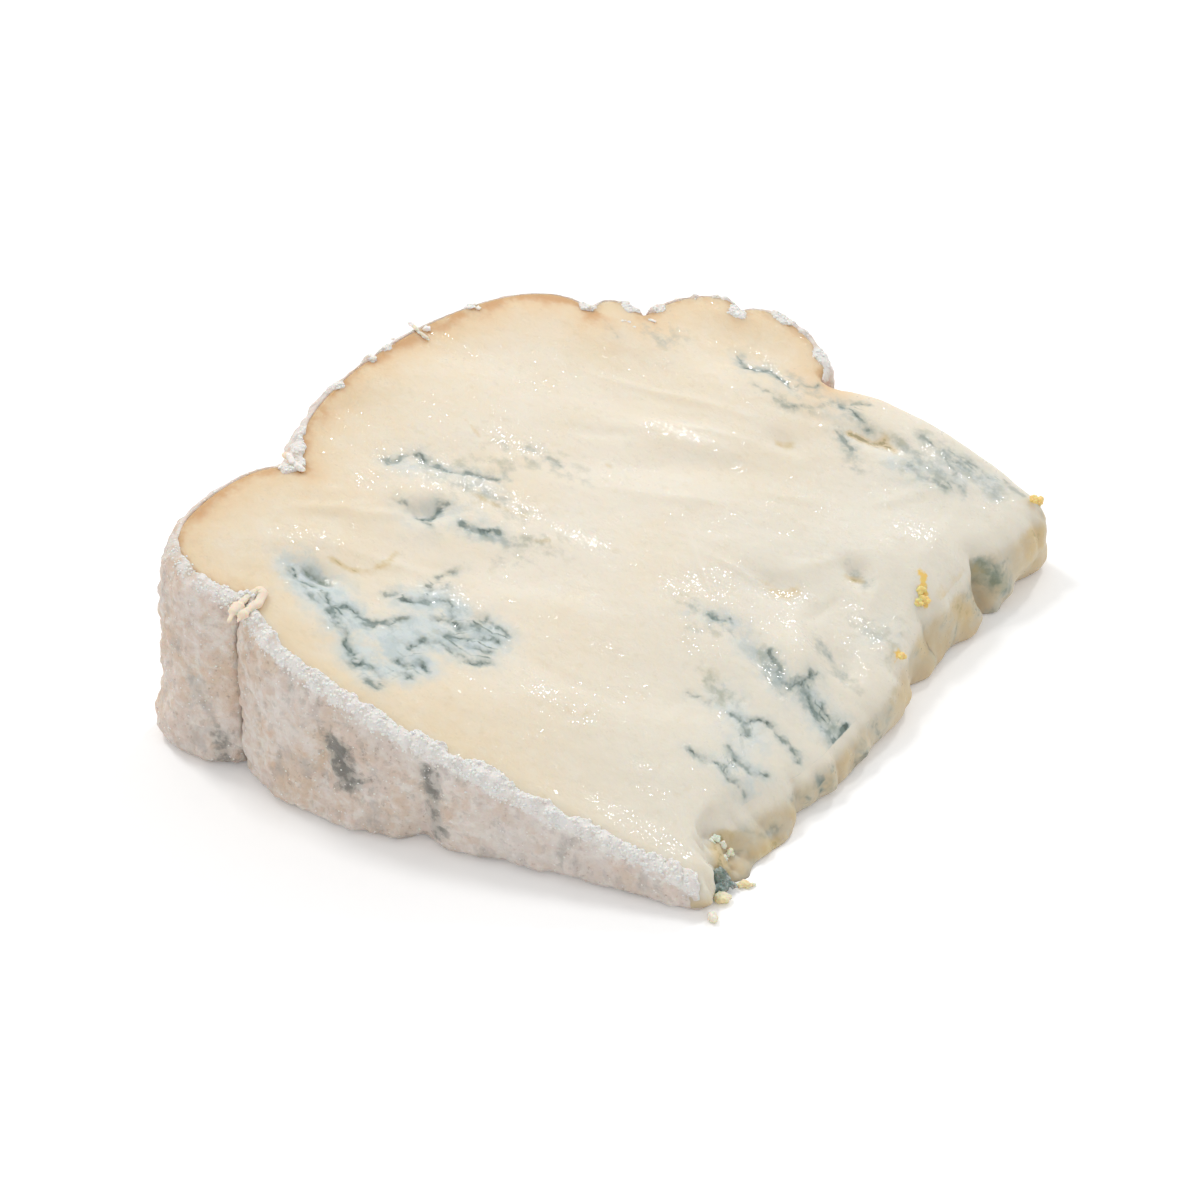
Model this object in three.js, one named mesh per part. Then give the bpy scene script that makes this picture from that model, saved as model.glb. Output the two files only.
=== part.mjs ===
import * as THREE from "three";

// A slice of soft blue cheese, cut right through a low wheel like a slice of cake and laid on one cut face.
// Lengths are in millimetres and +Z is up. Until the last lines everything is measured from the foot of the
// slice's broken point, where the middle of the wheel was: -X runs out to the wheel's rim and +Y runs across
// the wheel, from the flat face that kept its rind to the far face that lost it.

// The cut plane on top: the slice is thin at its point and thickens towards the rim and the far face.
const POINT_THICKNESS = 5;
const RISE_TO_RIM = 0.344;
const RISE_TO_FAR_FACE = 0.1;

// The heart of the slice, where the rings of its faces close.
const HEART = new THREE.Vector2(-50, 58);

// The edge of the cut face seen from above, anticlockwise from the point. Soft cheese sags in lobes, and two
// lobes meet in a crease: each is one cubic curve from its start, by two handles, to the start of the next.
const LOBES = [
  { name: "broken point", rind: false, start: [-2.6, 0.6], leave: [0.4, 1.4], arrive: [0.8, 4.6] },
  { name: "cavity", rind: false, start: [-1.6, 6.6], leave: [-3, 8.4], arrive: [-6.4, 9.4] },
  { name: "splintered edge", rind: false, start: [-7, 13.5], leave: [-1, 21], arrive: [-6.5, 19] },
  { name: "oozing edge", rind: false, start: [-1.2, 26], leave: [2, 43], arrive: [4, 61.5] },
  { name: "middle lobe", rind: false, start: [-1.4, 78.5], leave: [1, 81.5], arrive: [2, 94.5] },
  { name: "far lobe", rind: false, start: [-1, 97.5], leave: [1, 102], arrive: [4.3, 113] },
  { name: "far face", rind: false, start: [2.3, 118.4], leave: [-5, 122.5], arrive: [-36.5, 122.5] },
  { name: "shoulder lobe", rind: true, start: [-39.5, 112.5], leave: [-42.5, 122.5], arrive: [-59.5, 123.5] },
  { name: "wrinkled lobe", rind: true, start: [-59.5, 114.5], leave: [-62, 121.5], arrive: [-70.8, 110.8] },
  { name: "small lobe", rind: true, start: [-71.4, 101], leave: [-76, 102], arrive: [-80.5, 100] },
  { name: "rim lobe", rind: true, start: [-78.7, 94.5], leave: [-96.3, 100.3], arrive: [-109.5, 34.5] },
  { name: "corner on the rim", rind: true, start: [-94, 25.5], leave: [-102, 23.5], arrive: [-103, 3] },
  { name: "corner in front", rind: true, start: [-100.5, -0.8], leave: [-99.5, -5.5], arrive: [-86.8, -8.5] },
  { name: "front lobe", rind: true, start: [-84.6, -2.5], leave: [-83.6, -10], arrive: [-62, -10] },
  { name: "thin front", rind: true, start: [-48, -7.9], leave: [-32, -5.2], arrive: [-15, -2] },
];
const STEP_LENGTH = 2.9;
const FEWEST_STEPS = 4;

// How the sides stand. The rind swells out below the cut, and both kinds of side are rounded at the foot.
const RIND_SIDE = { swell: 0.07, mostSwell: 2.8, shoulder: 1.8, foot: 3.2, lip: 0.2, lipReach: 1.5 };
const PASTE_SIDE = { swell: 0.14, mostSwell: 2.2, shoulder: 6, foot: 1.8, lip: 1.5, lipReach: 2.4 };
const FOOT_SHARE = 0.3; // of the slice's height there, where it is too thin for the full foot
const CREASE_DEPTH = 5; // below the cut, over this depth, the creases grow shallow
const CREASE_FILL = 0.75;
const SMOOTHING = 7; // half the stretch of edge that the soft, creaseless edge is averaged over

// Grooves, drips and dents down the sides. foot, middle and top say how far the side stands out there, square
// to the edge unless a way is given.
const SIDE_RELIEF = [
  { name: "broken toe", at: [-7, 12.5], wide: 5, way: [1, 0], foot: 7, middle: 4, top: 0 },
  { name: "splintered toe", at: [-3, 22], wide: 7.5, way: [1, 0], foot: 5.8, middle: 3.2, top: 0 },
  { name: "hole in the foot", at: [-0.6, 29], wide: 3, foot: -1.2, middle: -0.6, top: 0 },
  { name: "belly of the oozing edge", at: [1.4, 42], wide: 9, foot: 1.6, middle: 1.4, top: 0 },
  { name: "swell beside the belly", at: [3, 60], wide: 6, foot: 0.4, middle: 1.2, top: 0 },
  { name: "notch in the foot", at: [0.6, 71], wide: 3, foot: -1.4, middle: -0.6, top: 0 },
  { name: "drip", at: [-1.4, 77.5], wide: 3.6, foot: 2.4, middle: 0.8, top: 0 },
  { name: "hollow under the lip", at: [0.4, 86.5], wide: 4.5, foot: -0.8, middle: 0.8, top: 0 },
  { name: "blob beside the hollow", at: [1.8, 91.5], wide: 2.6, foot: 1.6, middle: 0.8, top: 0 },
  { name: "groove beside the middle lobe", at: [-1, 98], wide: 3, foot: -0.6, middle: -2.6, top: 0 },
  { name: "far lobe's foot", at: [0.6, 101.5], wide: 3, foot: 2, middle: 1, top: 0 },
  { name: "far lobe's belly", at: [3, 110], wide: 5, foot: -2.2, middle: 0.6, top: 0 },
  { name: "hollow in the front rind", at: [-31, -5.4], wide: 7, foot: -1, middle: -0.4, top: 0 },
  { name: "groove in the front rind", at: [-48, -7.9], wide: 2.8, foot: -2.8, middle: -1.6, top: 0 },
  { name: "front lobe's belly", at: [-66, -9.4], wide: 11, foot: 1.6, middle: 0.8, top: 0 },
  { name: "needle dent in the front rind", at: [-65, -9.4], wide: 2.6, foot: 0, middle: -1.6, top: 0 },
  { name: "corner's foot", at: [-99.5, -3], wide: 8, foot: 2.8, middle: 0.8, top: 0 },
  { name: "dent in the rim", at: [-102, 52], wide: 9, foot: -1, middle: -1.8, top: 0 },
];

// Swells, lumps and pits of the cut face: how long and wide they are, which way they lie, and how high.
const TOP_RELIEF = [
  { name: "smeared ridge", at: [-52, 79.7], long: 11, wide: 3, turn: 26, rise: 1 },
  { name: "furrow below the ridge", at: [-52, 71], long: 14, wide: 4, turn: 40, rise: -0.8 },
  { name: "round lump", at: [-77, 37], long: 7, wide: 5, turn: 30, rise: 1.1 },
  { name: "slit beside the lump", at: [-73.5, 33], long: 4, wide: 1.8, turn: 46, rise: -1.6 },
  { name: "crescent step", at: [-83, 15], long: 9, wide: 4, turn: 35, rise: 0.8 },
  { name: "mould hole", at: [-80, 8.8], long: 3.4, wide: 2, turn: 17, rise: -1.6 },
  { name: "pale pit", at: [-23, 64], long: 5, wide: 3, turn: 25, rise: -1.2 },
  { name: "brown pit", at: [-13.6, 77.4], long: 2.8, wide: 2.4, turn: 0, rise: -1.4 },
  { name: "round pit", at: [-37.5, 94], long: 3, wide: 2.4, turn: 20, rise: -0.9 },
  { name: "olive pit", at: [-26, 107], long: 4.6, wide: 2, turn: 19, rise: -1.3 },
  { name: "tongue", at: [-12, 53], long: 8, wide: 3.6, turn: -60, rise: 1.4 },
  { name: "hollow above the tongue", at: [-17, 48], long: 6, wide: 2.6, turn: -31, rise: -1.5 },
  { name: "hollow beside the tongue", at: [-6, 58], long: 4, wide: 2.6, turn: -50, rise: -1.3 },
  { name: "swell by the middle lobe", at: [-10, 86], long: 10, wide: 8, turn: 80, rise: 1.2 },
  { name: "sag of the far corner", at: [-4, 114], long: 12, wide: 7, turn: 20, rise: -1.2 },
];

// Heights up a side, as shares of it. The two flat faces have rings stepped in from their edges, each smoothed
// along itself a number of times, and then rings spread evenly to the heart.
const SIDE_LEVELS = [0, 0.05, 0.12, 0.22, 0.36, 0.5, 0.64, 0.76, 0.86, 0.94];
const INSETS = [0.8, 1.2, 1.6];
const SMOOTHINGS = [1, 3, 6];
const INNER_RINGS = 9;
const FOOT_INNER_RINGS = 3;
const SETTLING_ROUNDS = 400;

const CHEESE = new THREE.MeshStandardMaterial({ name: "cheese", color: 0xebe2ce, roughness: 0.45, metalness: 0 });

// The outline as one list of points, closer together where two lobes meet.
function outlinePoints() {
  const points = [];
  LOBES.forEach((lobe, i) => {
    const end = LOBES[(i + 1) % LOBES.length].start;
    const corners = [lobe.start, lobe.leave, lobe.arrive, end].map((p) => new THREE.Vector2(...p));
    const curve = new THREE.CubicBezierCurve(...corners);
    const steps = Math.max(FEWEST_STEPS, Math.round(curve.getLength() / STEP_LENGTH));
    for (let k = 0; k < steps; k += 1) {
      const t = (1 - Math.cos((Math.PI * k) / steps)) / 2;
      points.push({ at: curve.getPoint(t), rind: lobe.rind });
    }
  });
  return points;
}

// Length of the outline up to each of its points, and the whole length last.
function lengthsAlong(points) {
  const lengths = [0];
  points.forEach((point, i) => {
    const next = points[(i + 1) % points.length].at;
    lengths.push(lengths[i] + point.at.distanceTo(next));
  });
  return lengths;
}

// The mean of a value over the stretch of edge within reach of point i, weighted by the edge's length.
function averageNear(points, lengths, i, reach, valueOf) {
  const whole = lengths[points.length];
  let sum = null;
  let weights = 0;
  points.forEach((point, j) => {
    const apart = Math.abs(lengths[j] - lengths[i]);
    const away = Math.min(apart, whole - apart);
    if (away > reach) return;
    const before = j === 0 ? whole - lengths[points.length - 1] : lengths[j] - lengths[j - 1];
    const weight = (before + lengths[j + 1] - lengths[j]) * (1 - away / (reach * 1.02));
    const value = valueOf(point).map((v) => v * weight);
    sum = sum === null ? value : sum.map((v, k) => v + value[k]);
    weights += weight;
  });
  return sum.map((v) => v / weights);
}

// Sum of round bumps, each the height of a bell curve over its own ellipse.
function topRelief(x, y) {
  return TOP_RELIEF.reduce((height, bump) => {
    const turn = THREE.MathUtils.degToRad(bump.turn);
    const dx = x - bump.at[0];
    const dy = y - bump.at[1];
    const along = (dx * Math.cos(turn) + dy * Math.sin(turn)) / bump.long;
    const across = (dy * Math.cos(turn) - dx * Math.sin(turn)) / bump.wide;
    return height + bump.rise * Math.exp(-(along * along + across * across));
  }, 0);
}

// Long, low waves that the wire left in the soft face, a little stronger near the broken side.
function waves(x, y) {
  const strength = 0.25 + 0.35 * Math.exp(x / 30);
  return strength * (Math.sin(0.13 * x + 0.09 * y) + 0.7 * Math.sin(0.21 * y - 0.08 * x + 2));
}

function cutPlane(x, y) {
  return POINT_THICKNESS - RISE_TO_RIM * x + RISE_TO_FAR_FACE * y;
}

// Height of the cut face. inset is the distance in from the edge, over which the face rounds down to it.
function topHeight(x, y, inset, side) {
  const settled = 1 - Math.exp(-inset / 3);
  return cutPlane(x, y) + settled * (topRelief(x, y) + waves(x, y)) - side.lip * Math.exp(-inset / side.lipReach);
}

// How far the side stands out from the edge of the cut, at a height and a share of the height.
function sideOffset(edge, height, share) {
  const { side, rim } = edge;
  const below = rim - height;
  const filled = edge.soft.clone().sub(edge.at);
  const inCrease = THREE.MathUtils.clamp(filled.dot(edge.out), 0, 1);
  filled.multiplyScalar(CREASE_FILL * inCrease * (1 - Math.exp(-below / CREASE_DEPTH)));
  const swell = Math.min(side.mostSwell, side.swell * rim) * (1 - Math.exp(-below / side.shoulder));
  const foot = Math.min(side.foot, FOOT_SHARE * rim);
  const roundAt = Math.min(1, height / foot);
  const undercut = foot * (1 - Math.sqrt(1 - (1 - roundAt) ** 2));
  const offset = filled.addScaledVector(edge.out, (swell - undercut) * (1 - inCrease));
  SIDE_RELIEF.forEach((mark) => {
    const away = edge.at.distanceTo(new THREE.Vector2(...mark.at)) / mark.wide;
    const lower = THREE.MathUtils.lerp(mark.foot, mark.middle, 2 * share);
    const upper = THREE.MathUtils.lerp(mark.middle, mark.top, 2 * share - 1);
    const way = mark.way ? new THREE.Vector2(...mark.way) : edge.out;
    offset.addScaledVector(way, (share < 0.5 ? lower : upper) * Math.exp(-away * away));
  });
  return offset;
}

// Everything the rings need at each point of the edge.
function edges() {
  const points = outlinePoints();
  const lengths = lengthsAlong(points);
  return points.map((point, i) => {
    const soft = new THREE.Vector2(...averageNear(points, lengths, i, SMOOTHING, (p) => p.at.toArray()));
    const [rindShare] = averageNear(points, lengths, i, SMOOTHING / 2, (p) => [p.rind ? 1 : 0]);
    const side = Object.fromEntries(
      Object.keys(RIND_SIDE).map((key) => [key, THREE.MathUtils.lerp(PASTE_SIDE[key], RIND_SIDE[key], rindShare)]),
    );
    return { at: point.at, soft, side };
  });
}

// The way out from the edge, square to the softened outline.
function addNormals(ring) {
  ring.forEach((edge, i) => {
    const before = ring[(i + ring.length - 1) % ring.length].soft;
    const after = ring[(i + 1) % ring.length].soft;
    const along = after.clone().sub(before).normalize();
    edge.out = new THREE.Vector2(along.y, -along.x);
    edge.rim = topHeight(edge.at.x, edge.at.y, 0, edge.side);
  });
  return ring;
}

function sidePoint(edge, share) {
  const height = edge.rim * share;
  const at = edge.at.clone().add(sideOffset(edge, height, share));
  return new THREE.Vector3(at.x, at.y, height);
}

const next = (ring, i) => ring[(i + 1) % ring.length];
const previous = (ring, i) => ring[(i + ring.length - 1) % ring.length];

// A ring the given step further in, square to itself.
function steppedIn(ring, step) {
  return ring.map((at, i) => {
    const arriving = at.clone().sub(previous(ring, i)).normalize();
    const along = next(ring, i).clone().sub(at).normalize().add(arriving).normalize();
    return new THREE.Vector2(at.x - step * along.y, at.y + step * along.x);
  });
}

function smoothed(ring) {
  return ring.map((at, i) => at.clone().multiplyScalar(2).add(previous(ring, i)).add(next(ring, i)).divideScalar(4));
}

// Rings spread evenly from the given one to the heart, which settle where each point is midway between its
// four neighbours.
function settledRings(outer, count) {
  const share = (k) => 1 - k / (count + 1);
  const rings = Array.from({ length: count + 2 }, (_, k) => outer.map((at) => at.clone().lerp(HEART, 1 - share(k))));
  for (let round = 0; round < SETTLING_ROUNDS; round += 1) {
    for (let k = 1; k <= count; k += 1) {
      rings[k] = rings[k].map((_, i) => previous(rings[k], i).clone().add(next(rings[k], i))
        .add(rings[k - 1][i]).add(rings[k + 1][i]).divideScalar(4));
    }
  }
  return rings.slice(1);
}

// All the rings of a flat face inside its edge, each with how far in it is.
function flatRings(edge, innerRings) {
  const rings = [];
  let at = edge;
  let inset = 0;
  INSETS.forEach((step, k) => {
    at = steppedIn(at, step);
    for (let time = 0; time < SMOOTHINGS[k]; time += 1) at = smoothed(at);
    inset += step;
    rings.push({ at, inset });
  });
  settledRings(at, innerRings).forEach((settled, k) => {
    rings.push({ at: settled, inset: k < innerRings ? inset * (k + 2) : Infinity });
  });
  return rings;
}

// A lathe gives the closed net of rings, and each of its points is then carried to its place on the slice.
function sliceGeometry() {
  const ring = addNormals(edges());
  const foot = ring.map((edge) => sidePoint(edge, 0)).map((at) => new THREE.Vector2(at.x, at.y));
  const edge = ring.map(({ at }) => at);
  const levels = [
    ...flatRings(foot, FOOT_INNER_RINGS).reverse().map(({ at }) => at.map((p) => new THREE.Vector3(p.x, p.y, 0))),
    ...SIDE_LEVELS.map((share) => ring.map((side) => sidePoint(side, share))),
    ring.map(({ at, rim }) => new THREE.Vector3(at.x, at.y, rim)),
    ...flatRings(edge, INNER_RINGS).map(({ at, inset }) => at.map((p, i) => (
      new THREE.Vector3(p.x, p.y, topHeight(p.x, p.y, inset, ring[i].side))
    ))),
  ];
  const profile = levels.map((_, k) => {
    const upTo = k / (levels.length - 1);
    return new THREE.Vector2(Math.sin(Math.PI * upTo), -Math.cos(Math.PI * upTo));
  });
  profile[0].x = 0;
  profile[levels.length - 1].x = 0;
  const net = new THREE.LatheGeometry(profile, ring.length);
  net.deleteAttribute("normal");
  net.deleteAttribute("uv");
  for (let i = 0; i <= ring.length; i += 1) {
    levels.forEach((level, k) => {
      net.attributes.position.setXYZ(i * levels.length + k, ...level[i % ring.length].toArray());
    });
  }
  net.computeVertexNormals();
  return net;
}

// The part's own origin is under the middle of the slice, on the surface it lies on.
function centred(geometry) {
  geometry.computeBoundingBox();
  const middle = geometry.boundingBox.getCenter(new THREE.Vector3());
  return geometry.translate(-middle.x, -middle.y, 0);
}

const wedge = new THREE.Mesh(centred(sliceGeometry()), CHEESE);
wedge.name = "wedge";

const cheese = new THREE.Group();
cheese.add(wedge);

export default cheese;
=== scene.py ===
# %% [markdown]
# # A slice of blue cheese, as a lesson in cells
# The slice is a cut from a low wheel of soft, creamy blue cheese. Its top and underside are cut faces, its
# left and front sides still carry the bloomy rind, and its right side was broken and sagged.
# The plain solid from the CAD source comes first. Every finer piece is then fitted over it, in metres,
# with the slice standing on z = 0.

import math

import bpy
import numpy as np
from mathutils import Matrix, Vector


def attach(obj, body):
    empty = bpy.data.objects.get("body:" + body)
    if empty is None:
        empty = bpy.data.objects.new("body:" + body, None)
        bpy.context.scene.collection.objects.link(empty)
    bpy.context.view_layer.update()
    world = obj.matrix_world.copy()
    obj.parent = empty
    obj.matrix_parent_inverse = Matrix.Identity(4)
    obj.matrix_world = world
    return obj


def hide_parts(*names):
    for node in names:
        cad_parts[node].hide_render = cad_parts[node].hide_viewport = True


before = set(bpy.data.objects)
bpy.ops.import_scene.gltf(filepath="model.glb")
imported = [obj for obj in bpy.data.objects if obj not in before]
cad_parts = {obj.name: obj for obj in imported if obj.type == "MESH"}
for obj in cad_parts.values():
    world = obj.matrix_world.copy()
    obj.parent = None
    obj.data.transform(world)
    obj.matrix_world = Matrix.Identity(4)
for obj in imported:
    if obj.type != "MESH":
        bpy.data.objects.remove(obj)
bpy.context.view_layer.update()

# %% [markdown]
# ## The outline of the slice
# A soft slice has no straight edge to model from, so its cut edge is drawn as lobes that meet in creases.
# Each lobe is one Bezier curve, in millimetres from the thin tip: x runs back to the rim, y to the far side.
# These are the same lobes that the solid is built on, so the fine pieces and the solid agree.

# %% Lobes of the cut edge: start, leave, arrive, and whether rind or paste shows below
MIDDLE = np.array([-50.5287, 55.4294, 0.0])
LOBES = {
    "broken_point": ((-2.6, 0.6), (0.4, 1.4), (0.8, 4.6), 0),
    "cavity": ((-1.6, 6.6), (-3, 8.4), (-6.4, 9.4), 0),
    "splintered_edge": ((-7, 13.5), (-1, 21), (-6.5, 19), 0),
    "oozing_edge": ((-1.2, 26), (2, 43), (4, 61.5), 0),
    "middle_lobe": ((-1.4, 78.5), (1, 81.5), (2, 94.5), 0),
    "far_lobe": ((-1, 97.5), (1, 102), (4.3, 113), 0),
    "far_face": ((2.3, 118.4), (-5, 122.5), (-36.5, 122.5), 0),
    "shoulder_lobe": ((-39.5, 112.5), (-42.5, 122.5), (-59.5, 123.5), 1),
    "wrinkled_lobe": ((-59.5, 114.5), (-62, 121.5), (-70.8, 110.8), 1),
    "small_lobe": ((-71.4, 101), (-76, 102), (-80.5, 100), 1),
    "rim_lobe": ((-78.7, 94.5), (-96.3, 100.3), (-109.5, 34.5), 1),
    "rim_corner": ((-94, 25.5), (-102, 23.5), (-103, 3), 1),
    "front_corner": ((-100.5, -0.8), (-99.5, -5.5), (-86.8, -8.5), 1),
    "front_lobe": ((-84.6, -2.5), (-83.6, -10), (-62, -10), 1),
    "thin_front": ((-48, -7.9), (-32, -5.2), (-15, -2), 1),
}
NAMES = list(LOBES)
OOZING, FAR_LOBE, FAR_FACE = (NAMES.index(n) for n in ("oozing_edge", "far_lobe", "far_face"))
SHOULDER, FRONT_CORNER, THIN_FRONT = (NAMES.index(n) for n in ("shoulder_lobe", "front_corner", "thin_front"))


def lobe_points(name, t):
    """Points of one lobe's curve at the shares t of its length parameter."""
    start, leave, arrive, _ = LOBES[name]
    end = LOBES[NAMES[(NAMES.index(name) + 1) % len(NAMES)]][0]
    a, b, c, d = (np.array(v, float) for v in (start, leave, arrive, end))
    t = np.asarray(t, float)[:, None]
    return a * (1 - t) ** 3 + 3 * b * t * (1 - t) ** 2 + 3 * c * t**2 * (1 - t) + d * t**3


def run_along(points):
    """How far along an open line each of its points lies."""
    return np.r_[0, np.cumsum(np.linalg.norm(np.diff(points, axis=0), axis=1))]


def lobe_length(name):
    return np.linalg.norm(np.diff(lobe_points(name, np.linspace(0, 1, 201)), axis=0), axis=1).sum()


def half_turn(n):
    """Shares 0 to 1 that crowd towards both ends, as the solid's own outline does."""
    return (1 - np.cos(np.pi * np.arange(n) / n)) / 2


print("edge", round(sum(lobe_length(n) for n in NAMES)), "mm round,", len(NAMES), "lobes")

# %% [markdown]
# ## Rings across the cut face
# The top is filled with rings that shrink from the edge to one heart point. Insetting a wavy outline folds
# it over itself at every crease. So the rings step in by their own normals, are smoothed, and the inner
# ones are relaxed until each point is the average of its neighbours, which never folds.

# %% The relaxed rings
HEART = np.array([-50.0, 58.0])
INSETS, SMOOTHINGS, INNER_RINGS = (0.8, 1.2, 1.6), (1, 3, 6), 9
COARSE_STEP, FEWEST = 2.9, 4


def stepped_in(ring, step):
    """The ring moved in by its own normals."""
    before, after = ring - np.roll(ring, 1, 0), np.roll(ring, -1, 0) - ring
    before /= np.linalg.norm(before, axis=1)[:, None]
    after /= np.linalg.norm(after, axis=1)[:, None]
    way = before + after
    way /= np.maximum(np.linalg.norm(way, axis=1)[:, None], 1e-9)
    return ring + step * np.c_[-way[:, 1], way[:, 0]]


def relaxed(ring, count, rounds=400):
    """Rings from this one to the heart, each point the average of its neighbours."""
    rings = np.array([(ring - HEART) * share + HEART for share in np.linspace(1, 0, count + 2)])
    for _ in range(rounds):
        for k in range(1, count + 1):
            rings[k] = (np.roll(rings[k], 1, 0) + np.roll(rings[k], -1, 0) + rings[k - 1] + rings[k + 1]) / 4
    return list(rings[1:])


def inner_rings(ring, count):
    """Rings from just inside the edge to the heart, with how far in each one counts."""
    rings, insets, inset = [], [], 0.0
    for step, rounds in zip(INSETS, SMOOTHINGS):
        ring = stepped_in(ring, step)
        for _ in range(rounds):
            ring = (2 * ring + np.roll(ring, 1, 0) + np.roll(ring, -1, 0)) / 4
        inset += step
        rings.append(ring)
        insets.append(inset)
    for k, r in enumerate(relaxed(ring, count)):
        rings.append(r)
        insets.append(inset * (k + 2))
    return rings, insets


COARSE_COUNTS = [max(FEWEST, round(lobe_length(n) / COARSE_STEP)) for n in NAMES]
coarse_edge = np.concatenate([lobe_points(n, half_turn(c)) for n, c in zip(NAMES, COARSE_COUNTS)])
top_rings, top_insets = inner_rings(coarse_edge, INNER_RINGS)
print(len(coarse_edge), "points round,", len(top_rings), "rings to the heart")

# %% [markdown]
# ## Height and sides of the slice
# The slice is thin at the tip and thickest at the rim, so its top is a sloping plane with soft waves and
# marks pressed into it. Below the edge the paste swells and is undercut at the foot, and the creases between
# lobes fill up towards the underside. Rind and paste swell by different amounts, blended along the outline.

# %% Relief pressed into the cut face: where, long, wide, turn in degrees, rise (mm)
TOP_RELIEF = [
    ((-52, 79.7), 11, 3, 26, 1), ((-52, 71), 14, 4, 40, -0.8), ((-77, 37), 7, 5, 30, 1.1),
    ((-73.5, 33), 4, 1.8, 46, -1.6), ((-83, 15), 9, 4, 35, 0.8), ((-80, 8.8), 3.4, 2, 17, -1.6),
    ((-23, 64), 5, 3, 25, -1.2), ((-13.6, 77.4), 2.8, 2.4, 0, -1.4), ((-37.5, 94), 3, 2.4, 20, -0.9),
    ((-26, 107), 4.6, 2, 19, -1.3), ((-12, 53), 8, 3.6, -60, 1.4), ((-17, 48), 6, 2.6, -31, -1.5),
    ((-6, 58), 4, 2.6, -50, -1.3), ((-10, 86), 10, 8, 80, 1.2), ((-4, 114), 12, 7, 20, -1.2),
]
# Marks on the sides: where, wide, way (None is straight out), rise at the foot and halfway up
SIDE_RELIEF = [
    ((-7, 12.5), 5, (1, 0), 7, 4), ((-3, 22), 7.5, (1, 0), 5.8, 3.2), ((-0.6, 29), 3, None, -1.2, -0.6),
    ((1.4, 42), 9, None, 1.6, 1.4), ((3, 60), 6, None, 0.4, 1.2), ((0.6, 71), 3, None, -1.4, -0.6),
    ((-1.4, 77.5), 3.6, None, 2.4, 0.8), ((0.4, 86.5), 4.5, None, -0.8, 0.8),
    ((1.8, 91.5), 2.6, None, 1.6, 0.8),
    ((-1, 98), 3, None, -0.6, -2.6), ((0.6, 101.5), 3, None, 2, 1), ((3, 110), 5, None, -2.2, 0.6),
    ((-31, -5.4), 7, None, -1, -0.4), ((-48, -7.9), 2.8, None, -2.8, -1.6), ((-66, -9.4), 11, None, 1.6, 0.8),
    ((-65, -9.4), 2.6, None, 0, -1.6), ((-99.5, -3), 8, None, 2.8, 0.8), ((-102, 52), 9, None, -1, -1.8),
]
RIND_SIDE = dict(swell=0.07, most=2.8, shoulder=1.8, foot=3.2, lip=0.2, reach=1.5)
PASTE_SIDE = dict(swell=0.14, most=2.2, shoulder=6, foot=1.8, lip=1.5, reach=2.4)


def bumps(x, y, marks):
    """The sum of oval rises and hollows at x, y."""
    height = np.zeros_like(x)
    for (at_x, at_y), long, wide, turn, rise in marks:
        c, s = math.cos(math.radians(turn)), math.sin(math.radians(turn))
        along = ((x - at_x) * c + (y - at_y) * s) / long
        across = ((y - at_y) * c - (x - at_x) * s) / wide
        height += rise * np.exp(-(along**2 + across**2))
    return height


def plane_height(x, y):
    return 5 - 0.344 * x + 0.1 * y


def top_height(x, y, inset, side):
    waves = (0.25 + 0.35 * np.exp(x / 30)) * (
        np.sin(0.13 * x + 0.09 * y) + 0.7 * np.sin(0.21 * y - 0.08 * x + 2))
    sunk = side["lip"] * np.exp(-inset / side["reach"])
    return plane_height(x, y) + (1 - np.exp(-inset / 3)) * (bumps(x, y, TOP_RELIEF) + waves) - sunk


# %% One net of the outline, at any fineness
def average_near(points, values, reach):
    """Values averaged along the closed outline, as far as reach each way."""
    gaps = np.linalg.norm(np.roll(points, -1, 0) - points, axis=1)
    along = np.concatenate([[0], np.cumsum(gaps)])
    whole, at = along[-1], along[:-1]
    apart = np.abs(at[:, None] - at[None])
    away = np.minimum(apart, whole - apart)
    weight = np.where(away <= reach, (np.roll(gaps, 1) + gaps)[None] * (1 - away / (reach * 1.02)), 0)
    return (weight @ values) / (weight.sum(1)[:, None] if values.ndim > 1 else weight.sum(1))


def between(rows, index):
    """Smooth values of a closed ring at fractional places."""
    n, i = len(rows), np.floor(index).astype(int)
    f = (index - i).reshape(-1, *[1] * (rows.ndim - 1))
    a, b, c, d = (rows[(i + k) % n] for k in (-1, 0, 1, 2))
    return b + f / 2 * (c - a + f * (2 * a - 5 * b + 4 * c - d + f * (3 * (b - c) + d - a)))


SOFTENED_OVER, BLENDED_OVER = 7, 3.5  # mm along the outline, for its creases and for rind against paste


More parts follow.
